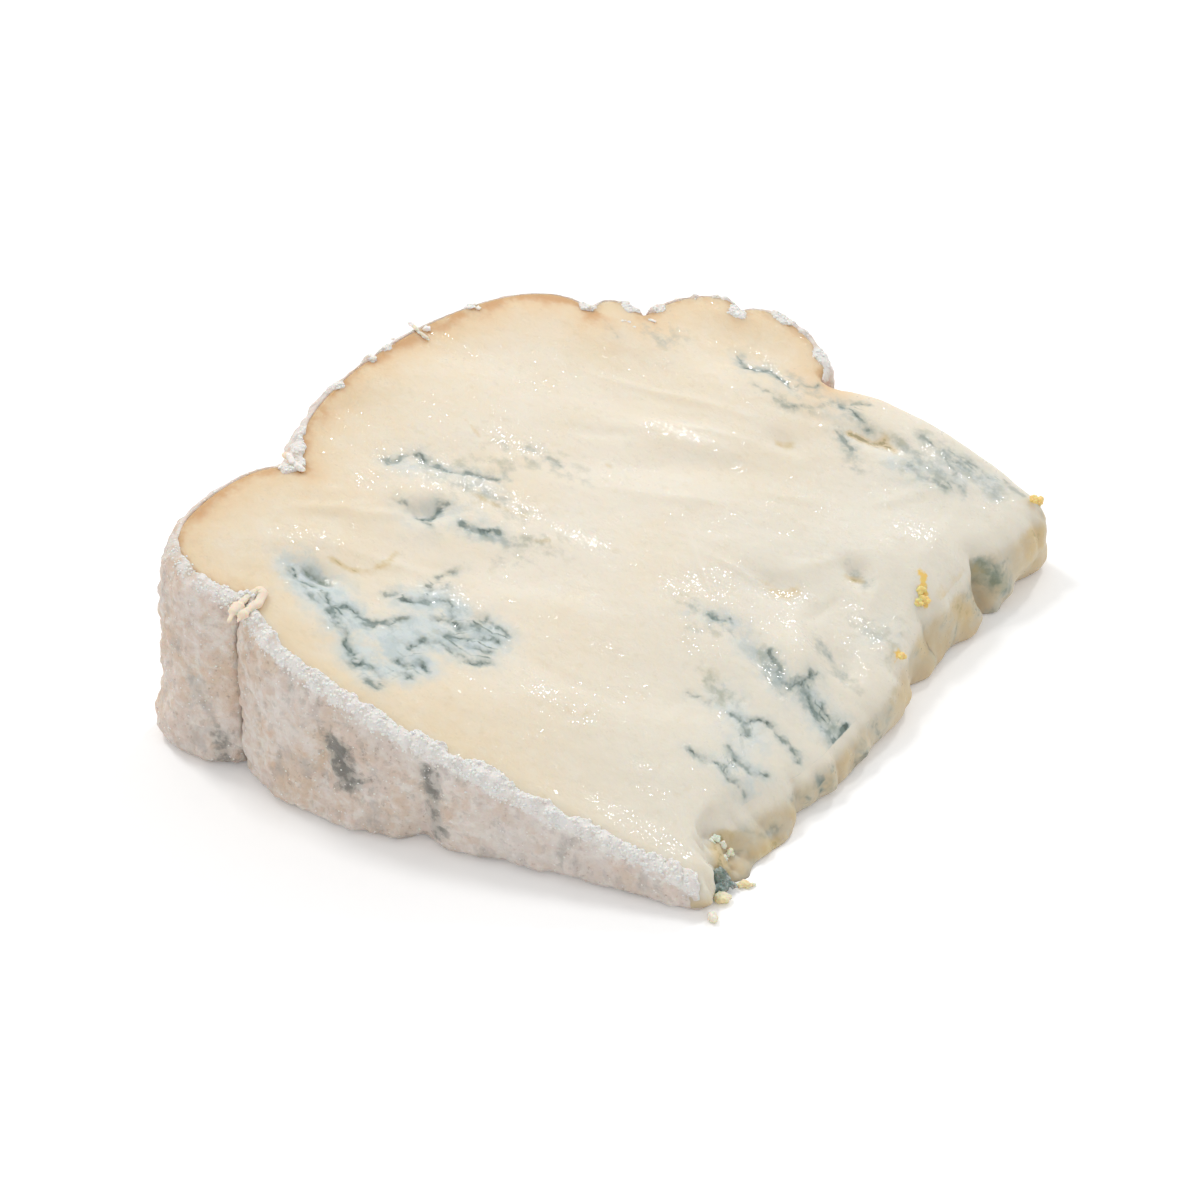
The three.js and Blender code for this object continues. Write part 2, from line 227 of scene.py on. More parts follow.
class Net:
    """The slice's outline at a given step, with what its sides need at every point."""

    def __init__(self, step, crowding=0.5, fewest=8):
        points, rind, lobe, place, first = [], [], [], [], 0
        for i, (name, coarse) in enumerate(zip(NAMES, COARSE_COUNTS)):
            n = max(fewest, round(lobe_length(name) / step))
            even = np.arange(n) / n
            t = (1 - crowding) * even + crowding * half_turn(n)
            points.append(lobe_points(name, t))
            rind += [LOBES[name][3]] * n
            lobe += [i] * n
            place.append(first + coarse * np.arccos(1 - 2 * t) / np.pi)
            first += coarse
        self.edge, self.lobe = np.concatenate(points), np.array(lobe)
        self.place = np.concatenate(place)
        self.soft = average_near(self.edge, self.edge, SOFTENED_OVER)
        self.rind = average_near(self.edge, np.array(rind, float), BLENDED_OVER)
        self.side = {k: PASTE_SIDE[k] + (RIND_SIDE[k] - PASTE_SIDE[k]) * self.rind for k in RIND_SIDE}
        way = np.roll(self.soft, -1, 0) - np.roll(self.soft, 1, 0)
        way /= np.linalg.norm(way, axis=1)[:, None]
        self.out = np.c_[way[:, 1], -way[:, 0]]
        self.rim = top_height(*self.edge.T, 0 * self.rind, self.side)
        self.in_crease = np.clip(((self.soft - self.edge) * self.out).sum(1), 0, 1)

    def side_ring(self, share):
        """The points at this share of the height, from 0 at the foot to 1 at the cut edge."""
        s, height = self.side, self.rim * share
        below = self.rim - height
        fill = 0.75 * (1 - np.exp(-below / 5)) * self.in_crease
        swell = np.minimum(s["most"], s["swell"] * self.rim) * (1 - np.exp(-below / s["shoulder"]))
        foot = np.minimum(s["foot"], 0.3 * self.rim)
        under = foot * (1 - np.sqrt(1 - (1 - np.minimum(1, height / foot)) ** 2))
        shift = (self.soft - self.edge) * fill[:, None]
        shift += self.out * ((swell - under) * (1 - self.in_crease))[:, None]
        for at, wide, way, at_foot, at_middle in SIDE_RELIEF:
            near = np.exp(-((np.linalg.norm(self.edge - np.array(at), axis=1) / wide) ** 2))
            if share < 0.5:
                amount = at_foot + (at_middle - at_foot) * 2 * share
            else:
                amount = at_middle * 2 * (1 - share)
            shift += (self.out if way is None else np.array([way], float)) * (amount * near)[:, None]
        return np.c_[self.edge + shift, height]

    def top_ring(self, ring, inset):
        return np.c_[ring, top_height(*ring.T, inset, self.side)]


body = Net(0.7)
print("fine net", len(body.edge), "points round")

# %% [markdown]
# ## Noise for crags and grain
# Real cheese is never smooth. A small value-noise function gives the same cloud of numbers on every run,
# and is used for crags on the broken side, grain on the rind and the wobble of the lips.

# %% Repeatable noise
def lattice(i, j, k, seed):
    """A number from 0 to 1 for every corner of the lattice."""
    h = (i * 73856093) ^ (j * 19349663) ^ (k * 83492791) ^ (seed * 40503)
    h = ((h ^ (h >> 13)) * 1274126177) & 0xFFFFFFFF
    return ((h ^ (h >> 16)) & 0xFFFF) / 65535.0


def clouds(points, size, seed=1, octaves=3, rough=0.5):
    """Cloudy noise from about -1 to 1 at each point, in lumps of this size."""
    total, weights = np.zeros(len(points)), 0.0
    for o in range(octaves):
        q = points / np.array(size, float) * 2**o + 31.7 * (seed + o)
        whole = np.floor(q).astype(np.int64)
        f = q - whole
        f = f * f * f * (f * (f * 6 - 15) + 10)
        value = np.zeros(len(points))
        for dx in (0, 1):
            for dy in (0, 1):
                for dz in (0, 1):
                    w = (f[:, 0] if dx else 1 - f[:, 0]) * (f[:, 1] if dy else 1 - f[:, 1])
                    w = w * (f[:, 2] if dz else 1 - f[:, 2])
                    value += w * lattice(whole[:, 0] + dx, whole[:, 1] + dy, whole[:, 2] + dz, seed + o)
        total += rough**o * (2 * value - 1)
        weights += rough**o
    return total / weights * 1.6


def eased(value, low, high):
    """0 below low, 1 above high, smooth between."""
    t = np.clip((value - low) / (high - low), 0, 1)
    return t * t * (3 - 2 * t)


def normals_of(grid, closed=True):
    """Unit normals of a grid of points, levels by stations."""
    if closed:
        along = np.roll(grid, -1, 1) - np.roll(grid, 1, 1)
    else:
        along = np.gradient(grid, axis=1)
    up = np.gradient(grid, axis=0)
    n = np.cross(along, up)
    return n / np.maximum(np.linalg.norm(n, axis=2)[:, :, None], 1e-9)


print("noise sample", np.round(clouds(np.array([[1.0, 2, 3], [4, 5, 6]]), 2), 3))

# %% [markdown]
# ## Where the blue mould grew
# Mould follows the cracks and the needle holes of the wheel. On the cut face it shows as thin branching
# lines on a bluish white bed. The lines are drawn as points in millimetres on the slope, each with its half
# width and its strength, and the broken side gets lines of its own, along the edge and up.

# %% Drawn marks on the cut face: half width, strength, points (mm)
VEINS = [
    (0.3, 0.8, [(-83.1, 6.8), (-82.4, 6.1), (-81, 6.1), (-79.3, 6.3), (-78.6, 6.7)]),
    (0.25, 0.7, [(-79.7, 5.3), (-78.4, 4.6), (-77, 4.3), (-75.8, 4.4)]),
    (0.32, 0.95, [(-76.2, 6.6), (-75.2, 5.5), (-74.3, 5), (-73.7, 3.6), (-72.6, 3.2), (-71.4, 3.1),
        (-70.3, 2.7), (-69.3, 2.1), (-68.2, 1.4), (-67.3, 0.1), (-65.9, -1.1), (-65.4, -2.2),
        (-64.6, -2.2), (-63.9, -0.9)]), (0.6, 0.95, [(-74.3, 4.5), (-73.2, 3.8), (-72.1, 3.3)]),
    (0.3, 0.9, [(-72.8, 6.3), (-71.8, 7.2), (-70.9, 7.3), (-70.2, 7.2)]),
    (0.4, 0.8, [(-69.8, 6.9), (-68.5, 6.9), (-67.6, 7.5), (-66.7, 8.1), (-65.5, 9)]),
    (0.4, 0.75, [(-68, 6.3), (-67.3, 6.7), (-66.8, 8)]), (0.4, 0.65, [(-64.7, 10.7), (-63.8, 11.7)]),
    (0.35, 0.7, [(-64.3, -0.6), (-63.2, -0.8), (-61.7, -0.7), (-60.4, -0.8), (-59.4, -1.2)]),
    (0.45, 0.75, [(-61, -3.4), (-60.1, -3), (-59.3, -3.3)]),
    (0.35, 0.85, [(-66.4, 14.8), (-65.6, 15.6), (-64.4, 16.3), (-63.1, 17)]),
    (0.35, 0.6, [(-64.3, 16.7), (-62.3, 18.4), (-61, 19.5), (-59.9, 19.4), (-59.5, 18.4), (-58.5, 17.9),
        (-58.3, 16.6), (-58.5, 15.9)]), (0.3, 0.5, [(-58.2, 19.1), (-58.3, 17.8), (-58.3, 16.6)]),
    (0.35, 0.7, [(-60.6, 14.6), (-59.5, 15.4), (-58.5, 15.9), (-57.5, 16.3)]),
    (0.35, 0.8, [(-61.8, 7.6), (-60.9, 7.4), (-60.2, 7.3), (-59.8, 8.2), (-59.2, 9.7), (-58.1, 10.3),
        (-57, 11.6)]),
    (0.35, 0.8, [(-57, 11.6), (-55.6, 11.3), (-54.4, 11.5), (-53.1, 11.6), (-51.7, 11.3), (-50.5, 11.9),
        (-49.5, 12.7), (-48.8, 13.7)]),
    (0.4, 0.75, [(-56.7, 13.6), (-55.6, 14.2), (-54.5, 15), (-54, 16.1), (-53, 16.9), (-51.7, 17.3),
        (-50.4, 18.7)]), (0.5, 0.6, [(-56.4, 16), (-55.4, 17), (-54.6, 18.1), (-53.4, 18.2), (-52.1, 18)]),
    (0.4, 0.7, [(-55.5, 20.1), (-54.2, 20.6), (-52.7, 20.7), (-51.1, 20.8), (-50.1, 21)]),
    (0.35, 0.5, [(-55.9, 20.8), (-54.2, 21.2)]),
    (0.3, 0.5, [(-53.8, 14.6), (-52.4, 14.9), (-50.7, 15.2), (-49.4, 15.6)]),
    (0.45, 0.9, [(-60.1, 3.4), (-59, 3.4), (-58.3, 4.1)]),
    (0.5, 0.9, [(-57.7, 5), (-56.7, 5.8), (-55.4, 5.3)]),
    (0.5, 0.85, [(-57.9, 2.3), (-56.7, 2.3), (-56.2, 2.5)]),
    (0.4, 0.45, [(-65.1, 20), (-64.2, 19.5), (-63.4, 20.8), (-62.7, 22.1)]),
    (0.45, 0.4, [(-64.6, 23.1), (-64, 25.3), (-63, 26.8)]), (0.5, 0.35, [(-69.4, 14.1), (-68.1, 15.5)]),
    (0.35, 0.65, [(-85.8, 37.9), (-84.7, 37.5), (-83.9, 38.7), (-83.5, 40), (-83.2, 41.3), (-82, 42.6),
        (-80.5, 42.3), (-79.3, 42.3), (-77.8, 42.6), (-76.1, 43.1), (-74.7, 44), (-73.3, 45.1),
        (-72, 46.2), (-70.9, 46.4), (-69.9, 46.8), (-68.8, 47.6)]),
    (0.3, 0.5, [(-79.1, 30.9), (-77.4, 31.4), (-75.8, 31.5), (-74.4, 31.5), (-73, 31), (-71.8, 31)]),
    (0.4, 1, [(-74.2, 31.3), (-73.3, 31.4), (-72.8, 32.5), (-72.6, 34), (-72.6, 35.5)]),
    (0.4, 0.4, [(-72.6, 35.5), (-71.4, 37.1)]),
    (0.55, 0.8, [(-67.3, 34.6), (-66, 35), (-64.6, 35.5), (-63.4, 36.7), (-62.2, 37.7)]),
    (0.35, 0.25, [(-68.8, 57.9), (-66.2, 58.7), (-63.5, 59.3)]),
    (0.28, 0.8, [(-53.8, 105.8), (-52.5, 104.7), (-51.6, 103.9), (-50.5, 104.5), (-49.6, 105.1)]),
    (0.32, 0.8, [(-50.5, 104.5), (-49.2, 105.2), (-48.5, 106.3), (-47.5, 106.7), (-46.1, 106.5),
        (-44.4, 106.2), (-43, 105.9)]),
    (0.28, 0.5, [(-43, 105.9), (-42.2, 106.8), (-41.6, 108.2), (-40.4, 109.1), (-39.7, 110.2)]),
    (0.5, 0.25, [(-47.7, 100.9), (-46.2, 100.8), (-45.2, 101.2)]),
    (0.4, 0.4, [(-42.1, 100.1), (-40, 102), (-39, 103.7)]),
    (0.35, 0.35, [(-37.5, 105.4), (-36.4, 106.5)]),
    (0.35, 0.6, [(-35.4, 109.3), (-34.1, 109.2), (-32.6, 109.5), (-30.8, 109.3), (-29.2, 108.7),
        (-28.1, 108.2)]), (0.3, 0.4, [(-34.5, 109.9), (-32.1, 112.4), (-30.7, 113.3)]),
    (0.5, 0.5, [(-31.7, 103.3), (-30.2, 102.9), (-29.1, 102), (-28.1, 102.1)]),
    (0.45, 0.5, [(-18.8, 105.2), (-16.8, 105.4), (-15.2, 105.1), (-12.7, 105.7), (-11.3, 106.2)]),
    (0.45, 0.45, [(-19.5, 113.2), (-18, 113.5), (-16.2, 113.3), (-15.1, 113.5)]),
    (0.35, 0.45, [(-15, 113.3), (-13.4, 113.3), (-11.8, 113.6), (-10.2, 113.7)]),
    (0.3, 0.4, [(-12.5, 115.6), (-10.4, 115.7), (-8.8, 115.8), (-6.6, 115.5)]),
    (0.3, 0.35, [(-13.1, 111.3), (-11.5, 111), (-11, 108.8), (-9.4, 108.9)]),
    (0.4, 0.35, [(-4.4, 117.4), (-2.2, 117), (-0.2, 116.8)]),
    (0.45, 0.9, [(-26.6, 49.5), (-25.8, 49.7), (-25, 50.5), (-24.4, 51.1)]),
    (0.4, 0.6, [(-15.5, 49.8), (-13.2, 48.4), (-11.3, 46.8), (-9.8, 46)]),
    (0.4, 0.75, [(-9.6, 46.2), (-8.8, 48.2), (-8.3, 50.1), (-7.7, 51.6)]),
    (0.45, 0.7, [(-8.1, 47.7), (-6.3, 46.6), (-4.1, 45.4), (-1.9, 44.2), (0.2, 43.2)]),
    (0.45, 0.95, [(0.4, 43.3), (1.3, 43.4), (1.7, 44.7), (1.6, 46.3), (1.2, 47.8)]),
    (0.35, 0.6, [(-4.2, 47.6), (-3, 47), (-2.2, 47)]),
    (0.35, 0.75, [(-14, 34.2), (-12.3, 34.7), (-10.9, 35.5), (-9.8, 36.9), (-8.6, 37), (-7.6, 37.2),
        (-6.5, 36.6), (-5.1, 36.2), (-3.9, 36.1), (-2.7, 35.6), (-1.5, 34.9)]),
    (0.45, 0.6, [(-11.5, 34.6), (-10.7, 33.2), (-10, 32.3)]),
    (0.3, 0.8, [(-15.3, 22.6), (-13.8, 22.7), (-12.4, 22.9), (-11.2, 23.4), (-10.1, 23.6), (-9.2, 23.9)]),
    (0.3, 0.7, [(-10, 23.4), (-8.7, 22.5), (-7.4, 22.2), (-5.9, 22.3), (-4.6, 22.2)]),
    (0.3, 0.6, [(-11.1, 27.8), (-9.8, 27.2), (-8.7, 26.4), (-7.1, 26.3), (-5.7, 26.2), (-4.9, 26.8),
        (-4.1, 27.6)]), (0.3, 0.35, [(-22, 33.2), (-19.9, 33.6), (-17.6, 33.7)]),
    (0.3, 0.3, [(-73.8, 92.9), (-72, 92.7)]),
]

MOULD = [
    (2.6, 0.36, [(-79.6, 41.3), (-72.5, 47.6), (-67.3, 55.5), (-61.2, 60.6)]),
    (2.4, 0.45, [(-75.9, 40.2), (-68, 43.8), (-61.8, 43.7)]),
    (1.5, 0.55, [(-66.2, 34.8), (-60.1, 37.2), (-56.6, 41.9)]),
    (2.4, 0.3, [(-74.1, 53.2), (-66.8, 58), (-58.4, 58.5)]),
    (2, 0.3, [(-59.3, 33.4), (-56.1, 37.9), (-53.7, 43.7)]),
    (1.5, 0.45, [(-33.2, 48.2), (-27.9, 49), (-22.4, 49)]), (1.4, 0.35, [(-28.4, 44.7), (-23.5, 47.3)]),
    (1.7, 0.7, [(-17.3, 48.8), (-14.2, 47.4), (-10.4, 44.8)]),
    (2, 0.75, [(-8.8, 47), (-3.8, 45.7), (1, 45.4)]),
    (1.8, 0.6, [(-9.9, 58.1), (-7, 57), (-4, 55.9)]),
    (1.4, 0.55, [(-21.9, 38.4), (-18.5, 36.7), (-16.5, 35.9)]),
    (2.8, 0.34, [(-7.4, 67.8), (-1.9, 68), (2.8, 65.7)]), (1.4, 0.6, [(-14.9, 77.2), (-11.1, 76.8)]),
    (1.9, 0.4, [(-68.6, 97.8), (-65.6, 98.3), (-62.7, 100)]),
    (2.2, 0.4, [(-52.6, 104.6), (-46.2, 107.4), (-38.7, 109.2)]),
    (1.7, 0.4, [(-43.3, 100.8), (-37.3, 105.2)]),
    (1.6, 0.5, [(-35.4, 108.5), (-31.1, 109.1), (-26.3, 108)]),
    (1.8, 0.45, [(-31.3, 104.1), (-28.2, 101.4), (-25.5, 98.9)]),
    (2.2, 0.6, [(-22.3, 109), (-15.5, 108), (-8.8, 108.5)]),
    (2.2, 0.5, [(-19, 113.8), (-11.9, 113.8), (-4.2, 113.3)]),
    (0.9, 1, [(-82.1, 8.8), (-80.6, 9), (-79.2, 9.3), (-77.6, 9.5)]),
    (0.7, 0.5, [(-81, 41.1), (-78.8, 41.5), (-77.3, 42.4)]),
    (1.3, 0.45, [(-74.8, 40.4), (-72.8, 39.3), (-71.5, 38.5)]),
    (1, 0.4, [(-70.3, 50.5), (-68.9, 49.7), (-67.1, 49.4)]),
    (3, 0.15, [(-66.3, 57.2), (-62.6, 57.9), (-58.9, 57)]), (1.8, 0.4, [(-66.1, 97.1), (-64.4, 97.8)]),
    (0.9, 0.3, [(-65.7, 101.4), (-64.1, 103.1)]),
    (1.7, 0.3, [(-18.4, 104.4), (-15, 105.9), (-12.4, 106.7)]),
    (2, 0.4, [(-13.3, 112.4), (-10.9, 113.9), (-8.6, 114.6)]),
    (1.6, 0.35, [(-11.3, 108.5), (-9.7, 109.5)]),
    (1.6, 0.25, [(-7, 114.3), (-3.9, 114.3)]), (0.9, 0.4, [(-31.2, 49.6), (-29.3, 49.7), (-27.9, 50)]),
    (1, 0.35, [(-25.1, 48.6), (-23, 49.8)]), (0.7, 0.5, [(-27.4, 45.1), (-26.3, 45.3), (-25.6, 45.8)]),
    (1.2, 0.5, [(-16.8, 47.6), (-15.3, 47.4), (-13.5, 46.9), (-11.9, 46.5)]),
    (1.8, 0.6, [(-5, 46.8), (-2.7, 45.7), (-0.5, 45.6), (0.7, 46.2)]),
    (0.7, 0.75, [(-8.4, 57.8), (-7.2, 57.3), (-5.5, 57.2), (-4.4, 57.2)]),
    (2.2, 0.3, [(-3.2, 66.7), (-3, 69.9), (-1.6, 72.8)]), (0.7, 0.4, [(-2.6, 54.7), (-0.6, 55.3)]),
    (1.5, 0.5, [(-20.2, 37.9), (-18.5, 37.3), (-16.4, 37.1), (-14.6, 37.2)]),
    (1, 0.3, [(-11.5, 34.6), (-10, 32.3)]), (1.5, 0.25, [(-58.4, 10.8), (-57.2, 14.9), (-55, 17.7)]),
    (1.2, 0.3, [(-72.2, 4.9), (-70.1, 3.3)]), (1, 0.3, [(-59.2, 3.2), (-56.9, 2.7), (-56.2, 5.7)]),
    (0.8, 0.3, [(-35.4, 109.3), (-32.6, 109.5)]),
]

HALOS = [
    (5, 1, [(-81.6, 6.9), (-76.5, 6.8), (-71.2, 4.9), (-65.5, 3.7), (-61.9, 7.2), (-60.1, 13.4)]),
    (5, 1, [(-57.2, 12), (-54.3, 15), (-51.3, 18)]),
    (4, 0.9, [(-66.1, 0.2), (-61.5, -0.8), (-58.5, 3.6), (-56.2, 6)]),
    (4, 0.8, [(-65.4, 15.3), (-61.8, 18.9), (-58.7, 18.6)]),
    (4, 0.5, [(-82.8, 38.3), (-76.7, 41.5), (-70.6, 44.7)]),
    (4.5, 0.45, [(-73.6, 30.7), (-70, 34.5), (-63.4, 36.7)]),
    (4, 0.5, [(-28.5, 48.4), (-23.4, 49.8), (-15.1, 47.3), (-9.4, 45.8)]),
    (4.5, 0.6, [(-16.4, 36), (-9.7, 32.8), (-8.5, 25.7), (-4.6, 25.5)]),
    (4.5, 0.7, [(-5.9, 46.5), (-0.2, 45)]), (5, 0.5, [(-19.6, 104.8), (-12.4, 110.7), (-5.9, 114.2)]),
    (4, 0.4, [(-30.3, 105.2), (-33.9, 108.1)]), (4, 0.3, [(-51.9, 102.6), (-42.9, 105.4)]),
    (5, 0.35, [(-4.5, 65.4), (-1.7, 71.2)]),
]

TANS = [
    (1.7, 0.55, [(0.2, 84), (1.2, 88), (1.4, 92)]),
    (0.6, 0.8, [(-80, 13.3), (-77.3, 13.7), (-74.9, 14.6), (-73.4, 16.8), (-72.8, 19.8), (-73, 22.5)]),
    (0.4, 0.25, [(-90.3, 5), (-88.3, 8), (-86.2, 10.7), (-83.5, 12.6)]),
    (0.8, 0.5, [(-69.8, 41.9), (-67.4, 42.2), (-65.3, 42.8), (-63.4, 43.6), (-61.9, 43.8), (-61.2, 44.6)]),
    (0.5, 0.5, [(-76.2, 53.3), (-79.9, 54.5)]), (0.6, 0.6, [(-25.5, 63), (-24.3, 63.9)]),
    (1.5, 0.85, [(-22.2, 63.6), (-20.5, 64.1), (-19.7, 65.6)]),
    (1.1, 0.75, [(-38.1, 93.2), (-36.7, 94.4)]),
    (1.1, 0.8, [(-14.4, 75.6), (-12.7, 76.8)]),
    (1.0, 1.1, [(-30.1, 105), (-28.7, 105.5), (-27.4, 106.2), (-25.7, 106.7), (-24.8, 108.3),
        (-23.6, 107.6), (-22, 107.3)]), (0.7, 0.5, [(-57.1, 41.1), (-55.5, 42.7)]),
    (1, 0.3, [(-34.4, 14.7), (-31.7, 16.2)]), (0.8, 0.3, [(-51.1, 4.1), (-49.1, 3.2)]),
    (0.6, 0.3, [(-31.4, 49.9), (-33, 49.2)]), (0.5, 0.35, [(-27.3, 57.5), (-26, 58.5)]),
    (0.5, 0.45, [(-57.7, 65.6), (-56.6, 65.5)]),
]

YELLOWS = [
    (1.1, 1, [(-4.2, 84.5), (-2.8, 82.3), (-1.5, 80.5)]), (0.9, 0.9, [(0.6, 68.1), (1.7, 66.3)]),
    (0.9, 0.5, [(2.9, 62.2), (3.9, 61.5)]),
]

# Marks on the broken side: the same, with points as distance along it and height
SIDE_VEINS = [
    (0.4, 0.8, [(35.7, 10), (35.9, 7.4), (36.5, 4), (36.3, 2.5)]),
    (0.35, 0.5, [(38.9, 9.6), (39.7, 7.4), (39.9, 5.1)]), (0.5, 0.5, [(47.9, 3.3), (49.1, 2.1)]),
    (0.4, 0.4, [(29.2, 5.2), (33.5, 2.7)]), (0.5, 0.4, [(53.2, 5.2), (54.9, 2.6)]),
]

SIDE_TANS = [
    (3.2, 0.75, [(86, 12), (90, 6)]), (2, 0.5, [(60, 7), (66, 5)]),
    (2.2, 0.9, [(8.5, 2), (11.5, 4), (14.5, 5.5)]), (4.5, 0.45, [(111, 12), (114, 6)]),
    (1.4, 0.8, [(17, 1.5), (22, 1)]),
    (2.5, 0.8, [(110.9, 14.3), (113.8, 9.4), (111, 8.9)]), (1.2, 1, [(119.1, 15.2), (120.5, 12.2)]),
    (0.9, 1.2, [(121.5, 1.7), (121.5, -1)]), (1.6, 0.6, [(67, 3.9), (64.4, 3.4)]),
    (1.5, 0.6, [(73.8, 10.4), (76.3, 5.6)]), (1, 0.7, [(49.4, -0.7), (51.6, -0.8)]),
    (1, 0.5, [(96.7, 13.8), (99.5, 9)]),
]

SIDE_BLUES = [
    (2, 0.95, [(96.2, 17.4), (99.1, 11.4), (102.5, 5)]), (1.5, 0.4, [(85.1, 12.1), (89.1, 11.9)]),
    (2, 0.35, [(57.3, 7.9), (61, 7.7)]), (1, 0.4, [(14.3, 7.4), (15.1, 5.2)]),
]

# Dark grey streaks on the front side: points as x and height
FRONT_DARK_STREAKS = [
    (1.6, 0.9, [(-62.5, 16.7), (-61.2, 14.4), (-59.7, 11.6)]),
    (1.2, 0.5, [(-46.1, 16.8), (-45.3, 13), (-44.6, 4.6)]), (1.4, 0.4, [(-88.3, 7), (-88.3, 1.7)]),
    (1, 0.4, [(-13.6, 12.1), (-6.2, 11.2)]),
]

# Wet streaks on the cut face
WET = [
    (2, 1, [(-84.3, 32), (-83.1, 33.2), (-81.4, 33.8)]),
    (1.6, 0.9, [(-86, 38.1), (-84.4, 40.7), (-81.2, 42.1), (-77.3, 42.4)]),
    (1.8, 0.8, [(-80.6, 36.5), (-76.7, 36.8)]), (1.4, 0.8, [(-72.2, 44), (-67.3, 46), (-60.9, 45.5)]),
    (1.6, 0.9, [(-87.8, 11.5), (-84.3, 13.6), (-80.5, 14)]), (1.2, 0.7, [(-83, 9), (-77.7, 10)]),
    (1.5, 1, [(-56.4, 77.5), (-52.9, 79.9), (-48, 81.4)]),
    (1.2, 0.9, [(-48, 81.4), (-44.2, 82.1), (-40.6, 83)]),
    (1.3, 0.8, [(-35, 49.3), (-32.4, 55), (-27.4, 61.9)]),
    (1.5, 0.8, [(-27.6, 62.3), (-21.7, 62.3), (-18.7, 66)]),
    (1.3, 1, [(-16.9, 47.8), (-11.7, 46.4), (-9.7, 45)]),
    (1.3, 0.9, [(-16.5, 58.5), (-14.6, 57.5), (-11.5, 55.3)]),
    (1.2, 0.9, [(-28.3, 106.3), (-22.1, 107.8)]),
    (1.6, 0.7, [(-17.3, 112.2), (-11.1, 112.1), (-4.8, 112)]),
    (1.8, 0.7, [(-11.7, 91.9), (-7.3, 93.2), (-2.6, 91.8)]), (1.5, 0.6, [(-5.6, 19.1), (-3.2, 19.8)]),
    (1.5, 0.7, [(-21.2, 3.8), (-13.9, 4.3), (-6.7, 4.8)]), (1.3, 0.6, [(-31.3, 53.1), (-27.7, 53.7)]),
    (1.6, 0.5, [(-55.5, 46.5), (-48.8, 48.8)]),
    (1.8, 0.6, [(-63.6, 18.6), (-61.8, 21.9), (-58.2, 22.6)]),
    (1.5, 0.6, [(-39.8, 15.3), (-31.8, 15)]), (1.6, 0.6, [(-20.5, 15.2), (-15, 12.5)]),
    (1.2, 0.7, [(-50.6, 105.8), (-47.1, 107.1), (-43.2, 105.8)]),
    (1.8, 0.5, [(-73.7, 55.9), (-67.5, 59.2)]), (1.6, 0.6, [(-11.3, 70.5), (-3.2, 66.7)]),
    (1.4, 0.7, [(-7.7, 62.2), (-2.6, 58.4)]), (1.3, 0.6, [(-27.1, 42.5), (-22.5, 41.4)]),
    (1.5, 0.6, [(-38.1, 31.4), (-34.6, 32)]),
]
print(len(VEINS), "veins,", len(MOULD), "mould smudges")

# %% [markdown]
# ## Mould on the faces that no one sees first
# The underside and the far side were cut through the same cheese, so veins show there too. A seeded walk
# draws them: each cluster sends out short wandering lines that branch, as mould in a crack does.

# %% Wandering veins in clusters
def wandering_veins(clusters, seed):
    """Lines that wander out from each cluster (x, y, reach, count)."""
    dice, lines = np.random.default_rng(seed), []
    for x, y, reach, count in clusters:
        main = dice.uniform(0, 2 * math.pi)
        for _ in range(count):
            at = np.array([x, y]) + dice.normal(0, reach / 2.4, 2)
            heading = main + dice.normal(0, 0.7) + math.pi * dice.integers(2)
            line = [tuple(at)]
            for _ in range(dice.integers(4, 13)):
                heading += dice.normal(0, 0.45)
                at = at + 1.1 * np.array([math.cos(heading), math.sin(heading)])
                line.append(tuple(at))
            lines.append((dice.uniform(0.25, 0.5), dice.uniform(0.4, 0.95), line))
    return lines


UNDER_CLUSTERS = [(-70, 18, 11, 22), (-30, 40, 12, 22), (-62, 62, 10, 14), (-18, 88, 11, 16),
                  (-45, 98, 9, 12), (-86, 66, 7, 7)]
BROKEN_CLUSTERS = [(34, 9, 6, 12), (58, 12, 7, 9), (74, 9, 5, 5), (88, 11, 6, 8), (100, 12, 6, 9),
                   (131, 14, 9, 14), (150, 18, 8, 10), (14, 5, 4, 4)]
under_veins = wandering_veins(UNDER_CLUSTERS, 5)
broken_veins = [(w, 0.3 * s, line) for w, s, line in wandering_veins(BROKEN_CLUSTERS, 8)]
print(len(under_veins), "veins below,", len(broken_veins), "on the broken and far sides")

# %% [markdown]
# ## From lines to numbers on the mesh
# A thin line is lost between vertices if only its distance is stored. So each vertex keeps the arrow to the
# nearest line point: across a line the arrow turns over, and blending two opposite arrows gives zero exactly
# on the line. The shader measures that arrow's length and draws a crisp, thin vein.

# %% Arrows to the nearest line, and soft spots
FARTHEST, MARGIN = 9.0, 8.0  # mm: as far as a vein is felt, and the space searched round each line


def arrows_to(points, a, b):
    """From each point to the nearest place between a and b."""
    t = np.clip(((points - a) @ (b - a)) / max((b - a) @ (b - a), 1e-9), 0, 1)
    return a + t[:, None] * (b - a) - points


def nearest_line(points, lines):
    """For each point: the arrow to the nearest line, the distance, that line's half width and strength."""
    best = np.full(len(points), 1e9)
    arrow, width, strength = np.zeros((len(points), 2)), np.zeros(len(points)), np.zeros(len(points))
    for half, strong, line in lines:
        line = np.array(line, float)
        low, high = line.min(0) - MARGIN, line.max(0) + MARGIN
        near = np.where(((points > low) & (points < high)).all(1))[0]
        for a, b in zip(line[:-1], line[1:]):
            way = arrows_to(points[near], a, b)
            far = np.linalg.norm(way, axis=1) - half
            closer = far < best[near]
            ids = near[closer]
            best[ids], arrow[ids], width[ids], strength[ids] = far[closer], way[closer], half, strong
    return arrow, np.minimum(best + width, FARTHEST), width, strength


